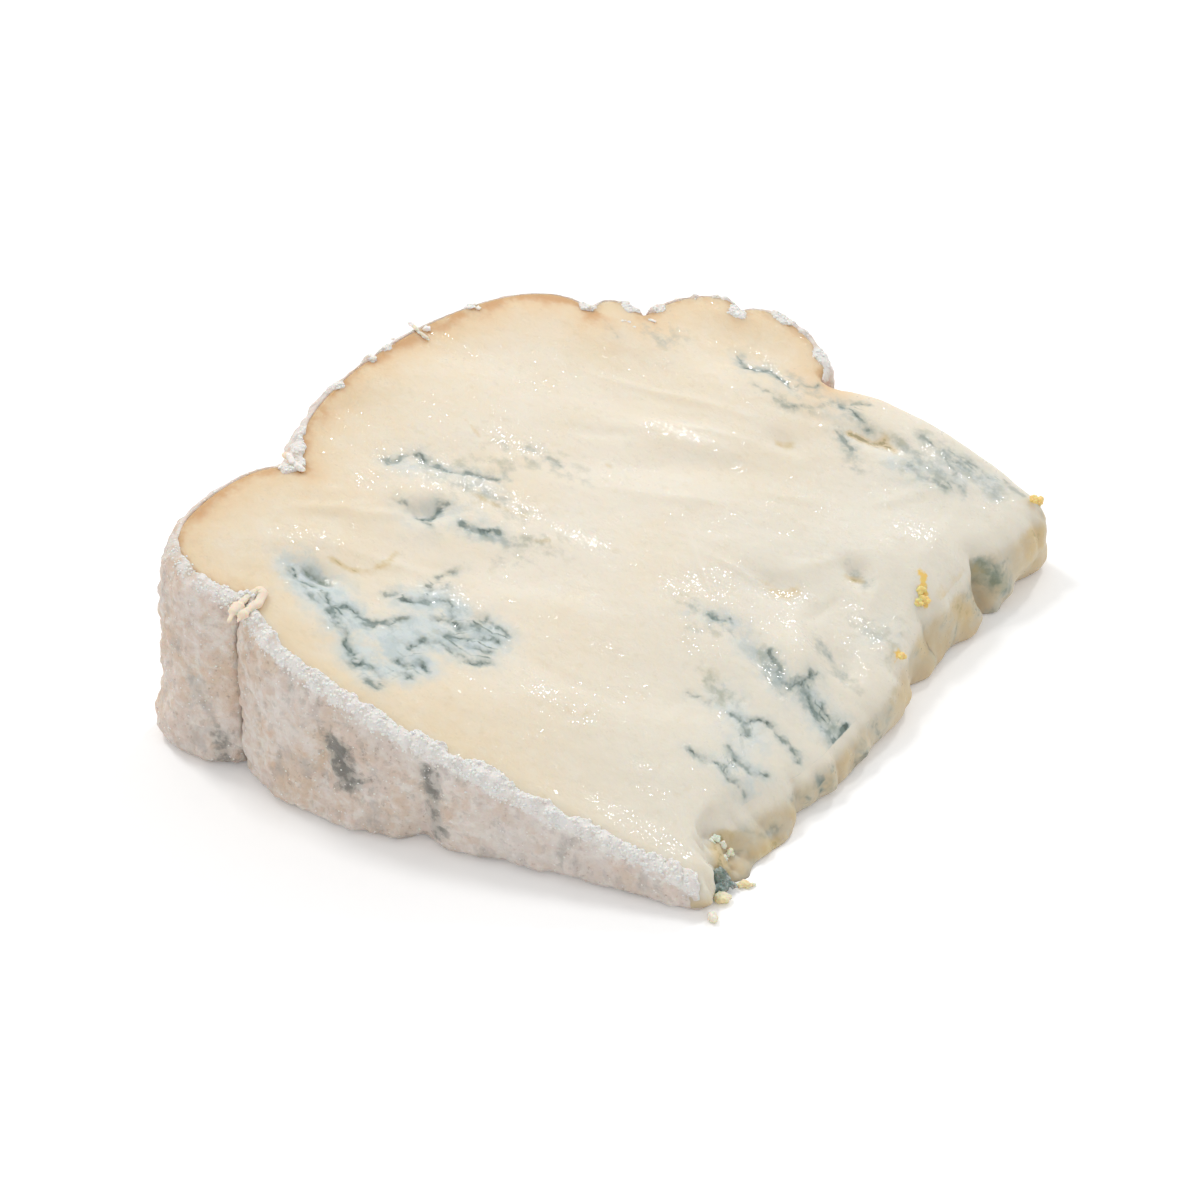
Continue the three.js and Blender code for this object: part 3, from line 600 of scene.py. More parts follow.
def soft_spots(points, marks):
    """How much of any drawn smudge lies on each point, from 0 to 1."""
    amount = np.zeros(len(points))
    for radius, strong, line in marks:
        line = np.array(line, float)
        low, high = line.min(0) - 3 * radius, line.max(0) + 3 * radius
        near = np.where(((points > low) & (points < high)).all(1))[0]
        far = np.full(len(near), 1e9)
        for a, b in zip(line[:-1], line[1:]):
            far = np.minimum(far, np.linalg.norm(arrows_to(points[near], a, b), axis=1))
        amount[near] = np.maximum(amount[near], strong * np.exp(-((far / radius) ** 2)))
    return amount


print("a spot's middle", soft_spots(np.zeros((1, 2)), [(1, 0.5, [(-1, 0), (1, 0)])])[0])

# %% [markdown]
# ## The paste
# One closed skin: heart of the underside, out to the foot, up the sides, over the edge and in to the heart of
# the cut face. It uses the solid's formulas on a finer net, then adds what a solid is too coarse for: cracks
# along the veins, smears of the knife, and a crumbly, dripping surface on the broken side.

# %% Levels of the paste, bottom heart to top heart
coarse = Net(COARSE_STEP, crowding=1, fewest=FEWEST)
foot_rings, foot_insets = inner_rings(coarse.side_ring(0)[:, :2], 3)
SIDE_SHARES = np.concatenate([[0, 0.02, 0.05, 0.085, 0.12, 0.16], np.linspace(0.2, 0.86, 17),
                              [0.89, 0.92, 0.945, 0.965, 0.985]])


def filled_in(rings, insets, counts):
    """The same rings with finer ones between them."""
    more, more_insets = [rings[0]], [insets[0]]
    for k, n in enumerate(counts):
        a, b = rings[max(k - 1, 0)], rings[k]
        c, d = rings[k + 1], rings[min(k + 2, len(rings) - 1)]
        for i in range(1, n + 1):
            f = i / n
            if k < 3:
                ring = b + f * (c - b)
            else:
                ring = b + f / 2 * (c - a + f * (2 * a - 5 * b + 4 * c - d + f * (3 * (b - c) + d - a)))
            more.append(ring)
            more_insets.append(insets[k] + f * (insets[k + 1] - insets[k]))
    return more, more_insets


top_fine, inset_fine = filled_in([body.edge] + [between(r, body.place) for r in top_rings],
                                 [0.0] + top_insets, [2, 3, 4] + [10] * (INNER_RINGS + 1))
foot_fine, _ = filled_in([body.side_ring(0)[:, :2]] + [between(r, body.place) for r in foot_rings],
                         [0.0] + foot_insets, [1, 1, 1, 3, 3, 3, 3])
under = [np.c_[r, 0 * r[:, 0]] for r in foot_fine[1:-1]][::-1]
sides = [body.side_ring(s) for s in SIDE_SHARES]
top = [body.top_ring(r, i) for r, i in zip(top_fine[:-1], inset_fine[:-1])]
paste_grid = np.array(under + sides + top)
n_under, n_sides = len(under), len(sides)
print("paste net", paste_grid.shape[:2], "->", 2 * paste_grid.shape[0] * paste_grid.shape[1], "triangles")

# %% Which face each point is on, and where it lies there
UNDERSIDE, SIDES, CUT_FACE = 0, 1, 2
NOWHERE = 400.0  # a place along the sides that no mark reaches
n_levels, n_around = paste_grid.shape[:2]
zone = np.repeat([UNDERSIDE] * n_under + [SIDES] * n_sides + [CUT_FACE] * len(top), n_around)
is_side, is_top = zone == SIDES, zone == CUT_FACE
lobe_of, rind_of, rim_of = (np.tile(values, n_levels) for values in (body.lobe, body.rind, body.rim))
flat = paste_grid.reshape(-1, 3)
far_x, far_y = LOBES["far_face"][0]
across = np.where(lobe_of <= FAR_LOBE, flat[:, 1], far_y + far_x - flat[:, 0])
across = np.where(lobe_of > FAR_FACE, NOWHERE, across)
below_top = rim_of - flat[:, 2]

# %% The marks that each face carries
arrow, reach = np.zeros((len(flat), 2)), np.full(len(flat), FARTHEST)
half, strong, yellow = np.zeros((3, len(flat)))
stains = np.zeros((len(flat), 3))
FACES = [
    (UNDERSIDE, flat[:, :2], under_veins, [], [], [], []),
    (SIDES, np.c_[across, flat[:, 2]], broken_veins + SIDE_VEINS, SIDE_BLUES, [], SIDE_TANS, []),
    (CUT_FACE, flat[:, :2], VEINS, MOULD, HALOS, TANS, YELLOWS),
]
for face, where, lines, smudges, beds, tans, yellows in FACES:
    ids = np.where(zone == face)[0]
    arrow[ids], reach[ids], half[ids], strong[ids] = nearest_line(where[ids], lines)
    bed = soft_spots(where[ids], beds) if beds else 0.35 * np.exp(-((reach[ids] / 3.5) ** 2))
    stains[ids] = np.c_[soft_spots(where[ids], smudges), bed, soft_spots(where[ids], tans)]
    yellow[ids] = soft_spots(where[ids], yellows)
strong[is_side] *= eased(below_top, 0.5, 3.5)[is_side]
stains[is_side] *= eased(below_top, 0.0, 2.0)[is_side, None]
print("points with a vein within 1 mm:", int((reach < 1).sum()))

# %% How near the rind is, and how strongly it has tanned the paste there
TANNED = {"shoulder_lobe": 0.8, "wrinkled_lobe": 0.75, "small_lobe": 0.75, "rim_lobe": 1.0, "rim_corner": 1.0,
          "front_corner": 0.8, "front_lobe": 0.4, "thin_front": 0.3}
CHUNK = 6000  # points at a time, to spare memory
rind_edge = body.edge[body.rind > 0.5]
tan_here = np.array([TANNED.get(NAMES[i], 0.3) for i in body.lobe[body.rind > 0.5]])
near_rind, tanned = np.zeros((2, len(flat)))
for first in range(0, len(flat), CHUNK):
    some = slice(first, first + CHUNK)
    far = np.linalg.norm(flat[some, None, :2] - rind_edge[None], axis=2)
    near_rind[some], tanned[some] = far.min(1), tan_here[far.argmin(1)]
band_width = 3.6 + 1.4 * eased(flat[:, 1], 50, 80)
tan_band = tanned * np.exp(-near_rind / band_width)
warm_band = np.exp(-near_rind / 16)
cool = eased(flat[:, 0], -52, -6)
print("tanned points", int((tan_band > 0.3).sum()))

# %% Knife smears and cracks on the cut face (mm), added to the solid's own relief
SMEARS = [
    ((-57, 88), 12, 0.9, 24, 0.5), ((-50, 84), 9, 0.8, 30, 0.45), ((-60, 73), 10, 1.2, 42, -0.3),
    ((-44, 68), 8, 1.4, 38, 0.35), ((-33, 57), 7, 0.8, -40, 0.4), ((-28, 62), 6, 0.9, 12, 0.45),
    ((-78, 28), 9, 1.1, 40, 0.4), ((-86, 22), 7, 1, 52, 0.35), ((-72, 20), 6, 1, 25, 0.3),
    ((-52, 30), 12, 2, 30, 0.25), ((-40, 20), 9, 1.4, 12, -0.25), ((-24, 24), 9, 1.6, 35, 0.25),
    ((-20, 73), 6, 1.1, 60, 0.4), ((-14, 66), 5, 1, 80, -0.4), ((-9, 74), 5, 1.2, 100, 0.4),
    ((-6, 92), 7, 1.4, 95, 0.35), ((-16, 98), 8, 1.2, 60, 0.3), ((-70, 52), 9, 1.2, 62, 0.3),
    ((-38, 102), 7, 1, 30, -0.3), ((-56, 104), 8, 1.3, 10, 0.25), ((-30, 84), 6, 1.2, 40, 0.25),
]
inset_of = np.repeat(np.concatenate([np.zeros(n_under + n_sides), inset_fine[:-1]]), n_around)
# The knife went across the slice, so its cloudy unevenness is turned and stretched that way
turned = np.c_[flat[:, 0] * 0.82 + flat[:, 1] * 0.57, -flat[:, 0] * 0.57 + flat[:, 1] * 0.82, flat[:, 2]]
lift = 0.75 * bumps(flat[:, 0], flat[:, 1], SMEARS)
wet = soft_spots(flat[:, :2], WET) * is_top
lift += 0.35 * clouds(turned, (18, 10, 40), 3, 1) + 0.05 * clouds(turned, (6, 2.2, 9), 4, 2)
lift += wet * 0.06 * clouds(flat, 2.4, 6, 1)
lift -= 0.3 * strong * np.exp(-((reach / 0.5) ** 2)) + 0.22 * stains[:, 0]
lift *= eased(inset_of, 0.2, 3.0) * is_top
print("lift on the cut face", round(float(lift.min()), 2), "to", round(float(lift.max()), 2), "mm")

# %% [markdown]
# The broken side is not a plane with noise on it: it tore in soft lumps, then sagged and dripped. Its crags
# are noise that is longer upwards than sideways, and towards the tip they turn into splinters.

# %% Crags of the broken side, moved along the surface's own normals
# Drips: along the side, height, wide, out
DRIPS = [
    (77.6, 3.2, 2.0, 1.5), (94.6, 2.8, 1.7, 1.2), (66.6, 3, 1.6, 1), (39.2, 2.6, 1.6, 1),
    (27.4, 2.6, 1.5, 0.9), (105, 3.2, 2, 1.2), (49, 3.4, 2.4, 0.9),
]
normal = normals_of(paste_grid).reshape(-1, 3)
height_share = np.clip(flat[:, 2] / np.maximum(rim_of, 1), 0, 1)
broken = (1 - np.clip(rind_of, 0, 1)) * (is_side | (is_top & (inset_of < 6)))
near_edge = np.where(is_top, np.exp(-inset_of / 1.6), 1)
near_tip = eased(flat[:, 1], 26, 8) * (lobe_of <= OOZING)
smooth_far = np.where(lobe_of == FAR_FACE, 0.6, 1)
crag = 0.6 * clouds(flat, (4.6, 4.6, 8), 11, 2, 0.45) + 0.1 * clouds(flat, 1.3, 12, 2)
crag -= 0.6 * np.maximum(0, clouds(flat, (2.6, 2.6, 6), 13, 2) - 0.3)
splinter = 1.2 * clouds(flat, (2.6, 1.9, 8), 14, 3, 0.55)
sag = clouds(flat, (9, 9, 30), 15, 1) + 0.3
push = (crag * (1 - near_tip) + splinter * near_tip) * broken * near_edge * smooth_far
belly = np.sin(math.pi * np.clip(height_share * 1.15 - 0.1, 0, 1))
push += 0.7 * sag * belly * broken * is_side * smooth_far
cavity = np.exp(-(((flat[:, 1] - 13.5) / 2.6) ** 2) - ((flat[:, 2] - 3.2) / 2.6) ** 2) * (lobe_of <= OOZING)
push -= 1.5 * cavity * is_side * broken
for along, height, wide, out in DRIPS:
    drip = np.exp(-(((flat[:, 1] - along) / wide) ** 2) - ((flat[:, 2] - height) / 2.4) ** 2)
    push += out * drip * (lobe_of <= FAR_LOBE) * is_side
push *= eased(flat[:, 2], 0.0, 2.0)
push -= 0.4 * eased(rind_of, 0.3, 0.7) * (is_side | (is_top & (inset_of < 0.3)))
shaped = flat + normal * push[:, None]
shaped[:, 2] = np.maximum(shaped[:, 2] + lift, 0)
shaped[zone == UNDERSIDE, 2] = 0
print("crags", round(float(push.min()), 2), "to", round(float(push.max()), 2), "mm")

# %% The broken edge, rounded off by averaging neighbouring levels
ROUNDS, EVENING = 40, 0.7
grid = shaped.reshape(paste_grid.shape)
level_at = np.arange(n_under, n_under + n_sides + 12)
soften = np.exp(-(((level_at - n_under - n_sides) / 5.0) ** 2))[:, None, None]
at_tip = eased(body.edge[:, 1], 26, 12) * (body.lobe <= OOZING)
soften = soften * ((1 - np.clip(body.rind, 0, 1)) * (1 - 0.85 * at_tip))[None, :, None]
for _ in range(ROUNDS):
    halfway = (grid[level_at - 1] + grid[level_at + 1]) / 2
    grid[level_at] += EVENING * soften * (halfway - grid[level_at])
shaped = grid.reshape(-1, 3)
print("rounded", len(level_at), "levels")

# %% From a grid of points to a closed mesh
def closed_faces(levels, around):
    """Quads round every level, then a fan to one point below and one above."""
    k = np.arange(around)
    after = (k + 1) % around
    quads = [np.c_[l * around + k, l * around + after, (l + 1) * around + after, (l + 1) * around + k]
             for l in range(levels - 1)]
    low, high, last = levels * around, levels * around + 1, (levels - 1) * around
    fans = [(low, int(b), int(a)) for a, b in zip(k, after)]
    fans += [(last + int(a), last + int(b), high) for a, b in zip(k, after)]
    return np.concatenate(quads).tolist() + fans


def mesh_piece(name, points_mm, faces, material=None):
    """A mesh object in metres, placed as the solid is."""
    mesh = bpy.data.meshes.new(name)
    mesh.from_pydata(((points_mm - MIDDLE) / 1000).tolist(), [], faces)
    mesh.validate()
    mesh.shade_smooth()
    piece = bpy.data.objects.new(name, mesh)
    bpy.context.scene.collection.objects.link(piece)
    if material:
        mesh.materials.append(material)
    return piece


def store(mesh, name, values):
    """Keeps three numbers at every vertex, for the shader."""
    stored = mesh.attributes.new(name, "FLOAT_VECTOR", "POINT")
    stored.data.foreach_set("vector", np.asarray(values, np.float32).ravel())


def with_hearts(*columns):
    """Three numbers for every point of the net and for the two heart points."""
    values = np.c_[columns]
    return np.concatenate([values, values[:1], values[-n_around:].mean(0, keepdims=True)])


# %% The paste's mesh, and the numbers that its finish reads
low_heart, high_heart = [*HEART, 0.0], [*HEART, grid[-1, :, 2].mean()]
paste_points = np.concatenate([shaped, [low_heart, high_heart]])
paste = mesh_piece("paste", paste_points, closed_faces(n_levels, n_around))
torn = is_side * (rind_of < 0.5) * eased(below_top, 0.2, 3.2)
store(paste.data, "vein_arrow", with_hearts(arrow, reach))
store(paste.data, "vein_size", with_hearts(half, strong, 0 * half))
store(paste.data, "stains", with_hearts(stains))
store(paste.data, "finish", with_hearts(yellow, tan_band, cool))
store(paste.data, "moist", with_hearts(wet, warm_band, torn))

# %% [markdown]
# ## Nodes for colours
# A few helpers keep the shader cells short. Every pattern reads Object coordinates turned into millimetres,
# so the same numbers that describe the real cheese can be typed in.

# %% Helpers for shader nodes
def put(tree, kind, wires=None, **settings):
    """Adds a node. Wires maps an input's name or number to a value or to another node's output."""
    node = tree.nodes.new(kind)
    for key, value in settings.items():
        setattr(node, key, value)
    for where, what in (wires or {}).items():
        if isinstance(what, bpy.types.NodeSocket):
            tree.links.new(what, node.inputs[where])
        else:
            node.inputs[where].default_value = what
    return node


def maths(tree, operation, a, b, clamp=False):
    return put(tree, "ShaderNodeMath", {0: a, 1: b}, operation=operation, use_clamp=clamp).outputs[0]


def times(tree, a, b):
    return maths(tree, "MULTIPLY", a, b)


def plus(tree, a, b, clamp=False):
    return maths(tree, "ADD", a, b, clamp)


def vectors(tree, operation, a, b):
    """Vector maths. For SCALE, b is one number."""
    wires = {0: a, "Scale" if operation == "SCALE" else 1: b}
    return put(tree, "ShaderNodeVectorMath", wires, operation=operation).outputs[0]


def ramp(tree, value, low, high, to_low=0.0, to_high=1.0):
    """Eases a value from one range to another."""
    wires = {"Value": value, "From Min": low, "From Max": high, "To Min": to_low, "To Max": to_high}
    return put(tree, "ShaderNodeMapRange", wires, interpolation_type="SMOOTHSTEP").outputs[0]


def colour(r, g, b):
    """A colour as a painter reads it off, 0 to 255, as the linear light a shader wants."""
    shares = (r / 255, g / 255, b / 255)
    return (*(c / 12.92 if c <= 0.04045 else ((c + 0.055) / 1.055) ** 2.4 for c in shares), 1.0)


def tint(tree, factor, below, above):
    """Lays one colour over another. Each is a painter's colour or another node's output."""
    below, above = (colour(*c) if isinstance(c, tuple) else c for c in (below, above))
    mix = put(tree, "ShaderNodeMix", {0: factor, 6: below, 7: above}, data_type="RGBA", clamp_factor=True)
    return mix.outputs[2]


def layered(tree, below, layers):
    """Lays colours over one another. Each layer is how strongly it covers, and its colour."""
    for factor, above in layers:
        below = tint(tree, factor, below, above)
    return below


def bumpy(tree, shader, height, strength, distance, socket="Normal"):
    """Bump from a height, for the whole surface or for its coat alone."""
    bump = put(tree, "ShaderNodeBump", {"Height": height, "Strength": strength, "Distance": distance})
    tree.links.new(bump.outputs[0], shader.inputs[socket])


def in_mm(tree):
    """Object coordinates in millimetres."""
    return vectors(tree, "SCALE", put(tree, "ShaderNodeTexCoord").outputs["Object"], 1000.0)


print("a middle grey is", round(colour(128, 128, 128)[0], 3), "in linear light")

# %% A group that more than one material uses: cloudy mottling with its own size
def mottling_group():
    group = bpy.data.node_groups.new("mottling", "ShaderNodeTree")
    for name, value in (("Size", 3.0), ("Detail", 3.0), ("Stretch", 1.0), ("Shift", 0.0)):
        socket = group.interface.new_socket(name=name, in_out="INPUT", socket_type="NodeSocketFloat")
        socket.default_value = value
    for name in ("Amount", "Patches"):
        group.interface.new_socket(name=name, in_out="OUTPUT", socket_type="NodeSocketFloat")
    inputs = group.nodes.new("NodeGroupInput").outputs
    moved = vectors(group, "ADD", in_mm(group), inputs["Shift"])
    squeeze = put(group, "ShaderNodeCombineXYZ", {"X": 1.0, "Y": 1.0, "Z": inputs["Stretch"]}).outputs[0]
    place = vectors(group, "MULTIPLY", moved, squeeze)
    scale = maths(group, "DIVIDE", 1.0, inputs["Size"])
    wires = {"Vector": place, "Scale": scale, "Detail": inputs["Detail"], "Roughness": 0.6}
    noise = put(group, "ShaderNodeTexNoise", wires)
    outputs = group.nodes.new("NodeGroupOutput").inputs
    group.links.new(noise.outputs["Fac"], outputs["Amount"])
    group.links.new(ramp(group, noise.outputs["Fac"], 0.42, 0.6), outputs["Patches"])
    return group


MOTTLING = mottling_group()


def mottled(tree, size, detail=3.0, stretch=1.0, shift=0.0, output="Amount"):
    """Cloudy mottling in lumps of this size (mm)."""
    wires = {"Size": size, "Detail": detail, "Stretch": stretch, "Shift": shift}
    node = tree.nodes.new("ShaderNodeGroup")
    node.node_tree = MOTTLING
    for name, value in wires.items():
        node.inputs[name].default_value = value
    return node.outputs[output]


def kept(tree, name):
    """The three numbers that were stored at every vertex."""
    wires = {0: put(tree, "ShaderNodeAttribute", attribute_name=name).outputs["Vector"]}
    return put(tree, "ShaderNodeSeparateXYZ", wires).outputs


def finish_of(name, **sockets):
    """A material with its Principled shader, and the shader's own sockets set."""
    material = bpy.data.materials.new(name)
    material.use_nodes = True
    tree = material.node_tree
    shader = tree.nodes["Principled BSDF"]
    for socket, value in sockets.items():
        shader.inputs[socket.replace("_", " ")].default_value = value
    return material, tree, shader


def two_toned(name, below, above, size, detail, shift, output="Amount", **sockets):
    """A material whose colour wanders between two tones."""
    material, tree, shader = finish_of(name, **sockets)
    shade = tint(tree, mottled(tree, size, detail, shift=shift, output=output), below, above)
    tree.links.new(shade, shader.inputs["Base Color"])
    return material, tree, shader, shade


print("shader helpers ready; group", MOTTLING.name)

# %% [markdown]
# ## The paste's finish
# Ripe paste is ivory, yellower towards the rind, whiter and cooler where it was torn open, and tanned in a
# narrow band under the rind. It is wet fat, so light enters it: subsurface scattering softens the shadows.
# A broken coat gives the small sharp glints. A coat doesn't follow the bump on Normal, so the beads of wet
# have a bump of their own, on Coat Normal.

# %% Ivory paste with its tan band
IVORY, CREAM, STRAW = (237, 228, 211), (236, 224, 202), (232, 211, 175)
COOL_IVORY, CLOUDED = (226, 221, 207), (235, 229, 215)
TORN_PASTE, FOOT_SHADE = (207, 187, 149), (210, 184, 152)
LIGHT_TAN, DARK_TAN = (232, 206, 170), (212, 166, 120)
paste_finish, tree, shader = finish_of(
    "cheese_paste", Subsurface_Weight=0.55, Subsurface_Scale=0.004, IOR=1.45, Specular_IOR_Level=0.35,
    Coat_Roughness=0.08)
shader.inputs["Subsurface Radius"].default_value = (1.0, 0.75, 0.5)
yellow_spot, band, cool_side = kept(tree, "finish")
moist, warm_here, torn_side = kept(tree, "moist")
clouds_big, clouds_small = mottled(tree, 22.0, 2.0), mottled(tree, 3.5, 4.0, shift=40.0)
above_foot = put(tree, "ShaderNodeSeparateXYZ", {0: in_mm(tree)}).outputs[2]
uneven = times(tree, band, ramp(tree, mottled(tree, 5.0, 3.0, shift=9.0), 0.3, 0.7, 0.75, 1.25))
ivory = layered(tree, tint(tree, ramp(tree, clouds_big, 0.35, 0.65), IVORY, CREAM), [
    (ramp(tree, warm_here, 0.1, 1.0, 0.0, 0.8), STRAW),
    (times(tree, cool_side, 0.8), COOL_IVORY),
    (ramp(tree, clouds_small, 0.4, 0.7, 0.0, 0.3), CLOUDED),
    (times(tree, torn_side, ramp(tree, clouds_big, 0.3, 0.7, 0.65, 1.0)), TORN_PASTE),
    # Painted shade: the broken side turns darker and browner towards its foot, under its overhang
    (times(tree, torn_side, ramp(tree, above_foot, 4.0, 0.0, 0.0, 0.45)), FOOT_SHADE),
    (ramp(tree, uneven, 0.03, 0.6), LIGHT_TAN),
    (ramp(tree, uneven, 0.45, 0.9), DARK_TAN),
])
print("ivory from", len(tree.nodes), "nodes")

# %% The bluish bed and the grey-green mould in it
BED, BLUE_BED, DEEP_MOULD = (214, 221, 219), (190, 202, 203), (116, 130, 110)
SLATE, OLIVE_SLATE = (146, 160, 157), (150, 158, 138)
smudge, bed, ochre = kept(tree, "stains")
speckled = mottled(tree, 2.2, 3.0, shift=17.0)
bed_mask = times(tree, bed, ramp(tree, mottled(tree, 4.0, 3.0, shift=3.0), 0.25, 0.65, 0.4, 1.0))
bluish = ramp(tree, mottled(tree, 3.0, 3.0, shift=91.0), 0.48, 0.62, 0.0, 0.7)
grain = plus(tree, smudge, ramp(tree, speckled, 0.3, 0.7, -0.25, 0.25))
slate = tint(tree, mottled(tree, 13.0, 2.0, shift=66.0, output="Patches"), SLATE, OLIVE_SLATE)
mouldy = layered(tree, ivory, [
    (ramp(tree, bed_mask, 0.08, 0.9), BED),
    (times(tree, bluish, bed_mask), BLUE_BED),
    (times(tree, ramp(tree, grain, 0.1, 1.0), 0.75), slate),
    (ramp(tree, grain, 0.75, 1.15, 0.0, 0.7), DEEP_MOULD),
])
print("with mould", len(tree.nodes), "nodes")

# %% Veins from the arrows: a soft shadow, a slate line and a few dark cores
VEIN_SHADOW, VEIN, VEIN_CORE, VEIN_DARK = (186, 197, 195), (149, 163, 158), (104, 123, 117), (58, 72, 64)
WOBBLE, MOST_WOBBLE = 2.4, 0.8  # mm: how far noise moves a vein, and how far it may reach beyond its line
arrow_x, arrow_y, gap = kept(tree, "vein_arrow")
half_width, strength, _ = kept(tree, "vein_size")
wires = {"Vector": in_mm(tree), "Scale": 0.45, "Detail": 2.0, "Roughness": 0.5}
wobble = put(tree, "ShaderNodeTexNoise", wires).outputs["Color"]
shift = vectors(tree, "SCALE", vectors(tree, "SUBTRACT", wobble, (0.5, 0.5, 0.5)), WOBBLE)
arrow_now = put(tree, "ShaderNodeCombineXYZ", {"X": arrow_x, "Y": arrow_y, "Z": 0.0}).outputs[0]
flat_move = vectors(tree, "MULTIPLY", vectors(tree, "ADD", arrow_now, shift), (1.0, 1.0, 0.0))
off_line = put(tree, "ShaderNodeVectorMath", {0: flat_move}, operation="LENGTH").outputs["Value"]
off_line = maths(tree, "MAXIMUM", off_line, maths(tree, "SUBTRACT", gap, MOST_WOBBLE))
half_here = times(tree, half_width, ramp(tree, speckled, 0.35, 0.65, 0.4, 1.3))
line = maths(tree, "SUBTRACT", off_line, half_here)
drawn = times(tree, ramp(tree, mottled(tree, 3.0, 2.0, shift=61.0), 0.36, 0.54, 0.25, 1.0), strength)
shadowed = times(tree, ramp(tree, gap, 3.4, 0.3, 0.0, 0.5), strength)
shadowed = times(tree, shadowed, ramp(tree, speckled, 0.3, 0.7, 0.3, 1.0))
soft_line = times(tree, ramp(tree, line, 1.0, -0.1, 0.0, 0.75), drawn)
core = times(tree, ramp(tree, line, 0.3, -0.2, 0.0, 0.75), drawn)
deep = times(tree, ramp(tree, line, 0.02, -0.25, 0.0, 0.65), drawn)
deep = times(tree, deep, ramp(tree, mottled(tree, 3.2, 2.0, shift=23.0), 0.5, 0.6))
veined = layered(tree, mouldy, [
    (shadowed, VEIN_SHADOW), (soft_line, VEIN), (core, VEIN_CORE), (deep, VEIN_DARK)])
print("with veins", len(tree.nodes), "nodes")

# %% Ochre and yellow growths
OCHRE, OLIVE, YELLOW = (216, 192, 142), (156, 142, 98), (240, 205, 118)
ochre_grain = plus(tree, ochre, ramp(tree, speckled, 0.3, 0.7, -0.2, 0.2))
yellow_grain = plus(tree, yellow_spot, ramp(tree, speckled, 0.3, 0.7, -0.4, 0.4))
finished = layered(tree, veined, [
    (ramp(tree, ochre_grain, 0.1, 0.95, 0.0, 0.7), OCHRE),
    (ramp(tree, ochre_grain, 0.8, 1.1, 0.0, 0.85), OLIVE),
    (ramp(tree, yellow_grain, 0.35, 0.75), YELLOW),
])
tree.links.new(finished, shader.inputs["Base Color"])

# %% Wet streaks, scattered drops and fine relief
streaky = ramp(tree, mottled(tree, 1.6, 3.0, shift=131.0), 0.38, 0.54, 0.35, 1.3)
misty = ramp(tree, mottled(tree, 6.0, 4.0, shift=77.0), 0.5, 0.66, 0.0, 0.12)
damp = plus(tree, times(tree, moist, streaky), misty, clamp=True)
damp = times(tree, damp, ramp(tree, band, 0.6, 0.1))
drops = times(tree, ramp(tree, mottled(tree, 0.9, 1.0, shift=111.0), 0.63, 0.7),
              ramp(tree, mottled(tree, 8.0, 2.0, shift=120.0), 0.47, 0.58))
coat = ramp(tree, plus(tree, damp, drops), 0.06, 0.4, 0.04, 1.0)
tree.links.new(ramp(tree, damp, 0.0, 1.0, 0.56, 0.46), shader.inputs["Roughness"])
tree.links.new(coat, shader.inputs["Coat Weight"])
fine = times(tree, mottled(tree, 3.0, 3.0, shift=5.0), 0.6)
fine = maths(tree, "SUBTRACT", fine, times(tree, core, 0.3))
bumpy(tree, shader, fine, 0.5, 0.0007)
wires = {"Vector": in_mm(tree), "Scale": 0.85, "Detail": 1.0, "Roughness": 0.6}
beads = put(tree, "ShaderNodeTexNoise", wires).outputs["Fac"]
bumpy(tree, shader, beads, 1.0, 0.0004, "Coat Normal")
paste.data.materials.append(paste_finish)
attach(paste, "root")
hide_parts("wedge")
print("paste finish has", len(tree.nodes), "nodes")

# %% [markdown]
# ## The rind
# The rind is a thin, dry, powdery skin. Painting it on would leave no lip at the cut, so it is a shell of its
# own: a strip that follows the outline from the far shoulder round the rim to the thin front, proud of the
# paste by a fraction of a millimetre, and torn into a ragged lip where the knife came through.

# %% Stations along the rind and the shell's profile
PAST_TIP = 4.5  # mm that the strip runs on round the tip
skin = Net(0.5, crowding=0.35)
first, last = np.where(skin.lobe == SHOULDER)[0][0], np.where(skin.lobe == THIN_FRONT)[0][-1]
past_tip = int(np.searchsorted(run_along(skin.edge), PAST_TIP)) - 1
stations = np.arange(first, last + 1 + past_tip) % len(skin.edge)
RIND_SHARES = np.r_[np.linspace(0, 0.1, 8), np.linspace(0.115, 0.9, 44), np.linspace(0.91, 0.99, 8)]
STRIP = [0.0, 0.2, 0.4, 0.6, 0.85, 1.1, 1.4, 1.7, 2.0, 2.3, 2.6, 3.0, 3.4, 3.9]
strip_rings = [skin.edge] + [between(r, skin.place) for r in top_rings[:3]]
strip_knots = [0.0] + top_insets[:3]


def strip_ring(inset):
    """The ring this far in from the cut edge."""
    k = min(int(np.searchsorted(strip_knots, inset, side="right")) - 1, 2)
    f = (inset - strip_knots[k]) / (strip_knots[k + 1] - strip_knots[k])
    ring = strip_rings[k] + f * (strip_rings[k + 1] - strip_rings[k])
    return skin.top_ring(ring, inset)


outer = np.array([skin.side_ring(s) for s in RIND_SHARES] + [strip_ring(i) for i in STRIP])
outer_normal = normals_of(outer)
outer, outer_normal = outer[:, stations], outer_normal[:, stations]
n_profile, n_stations = outer.shape[:2]
print("rind shell", n_profile, "levels,", n_stations, "stations")

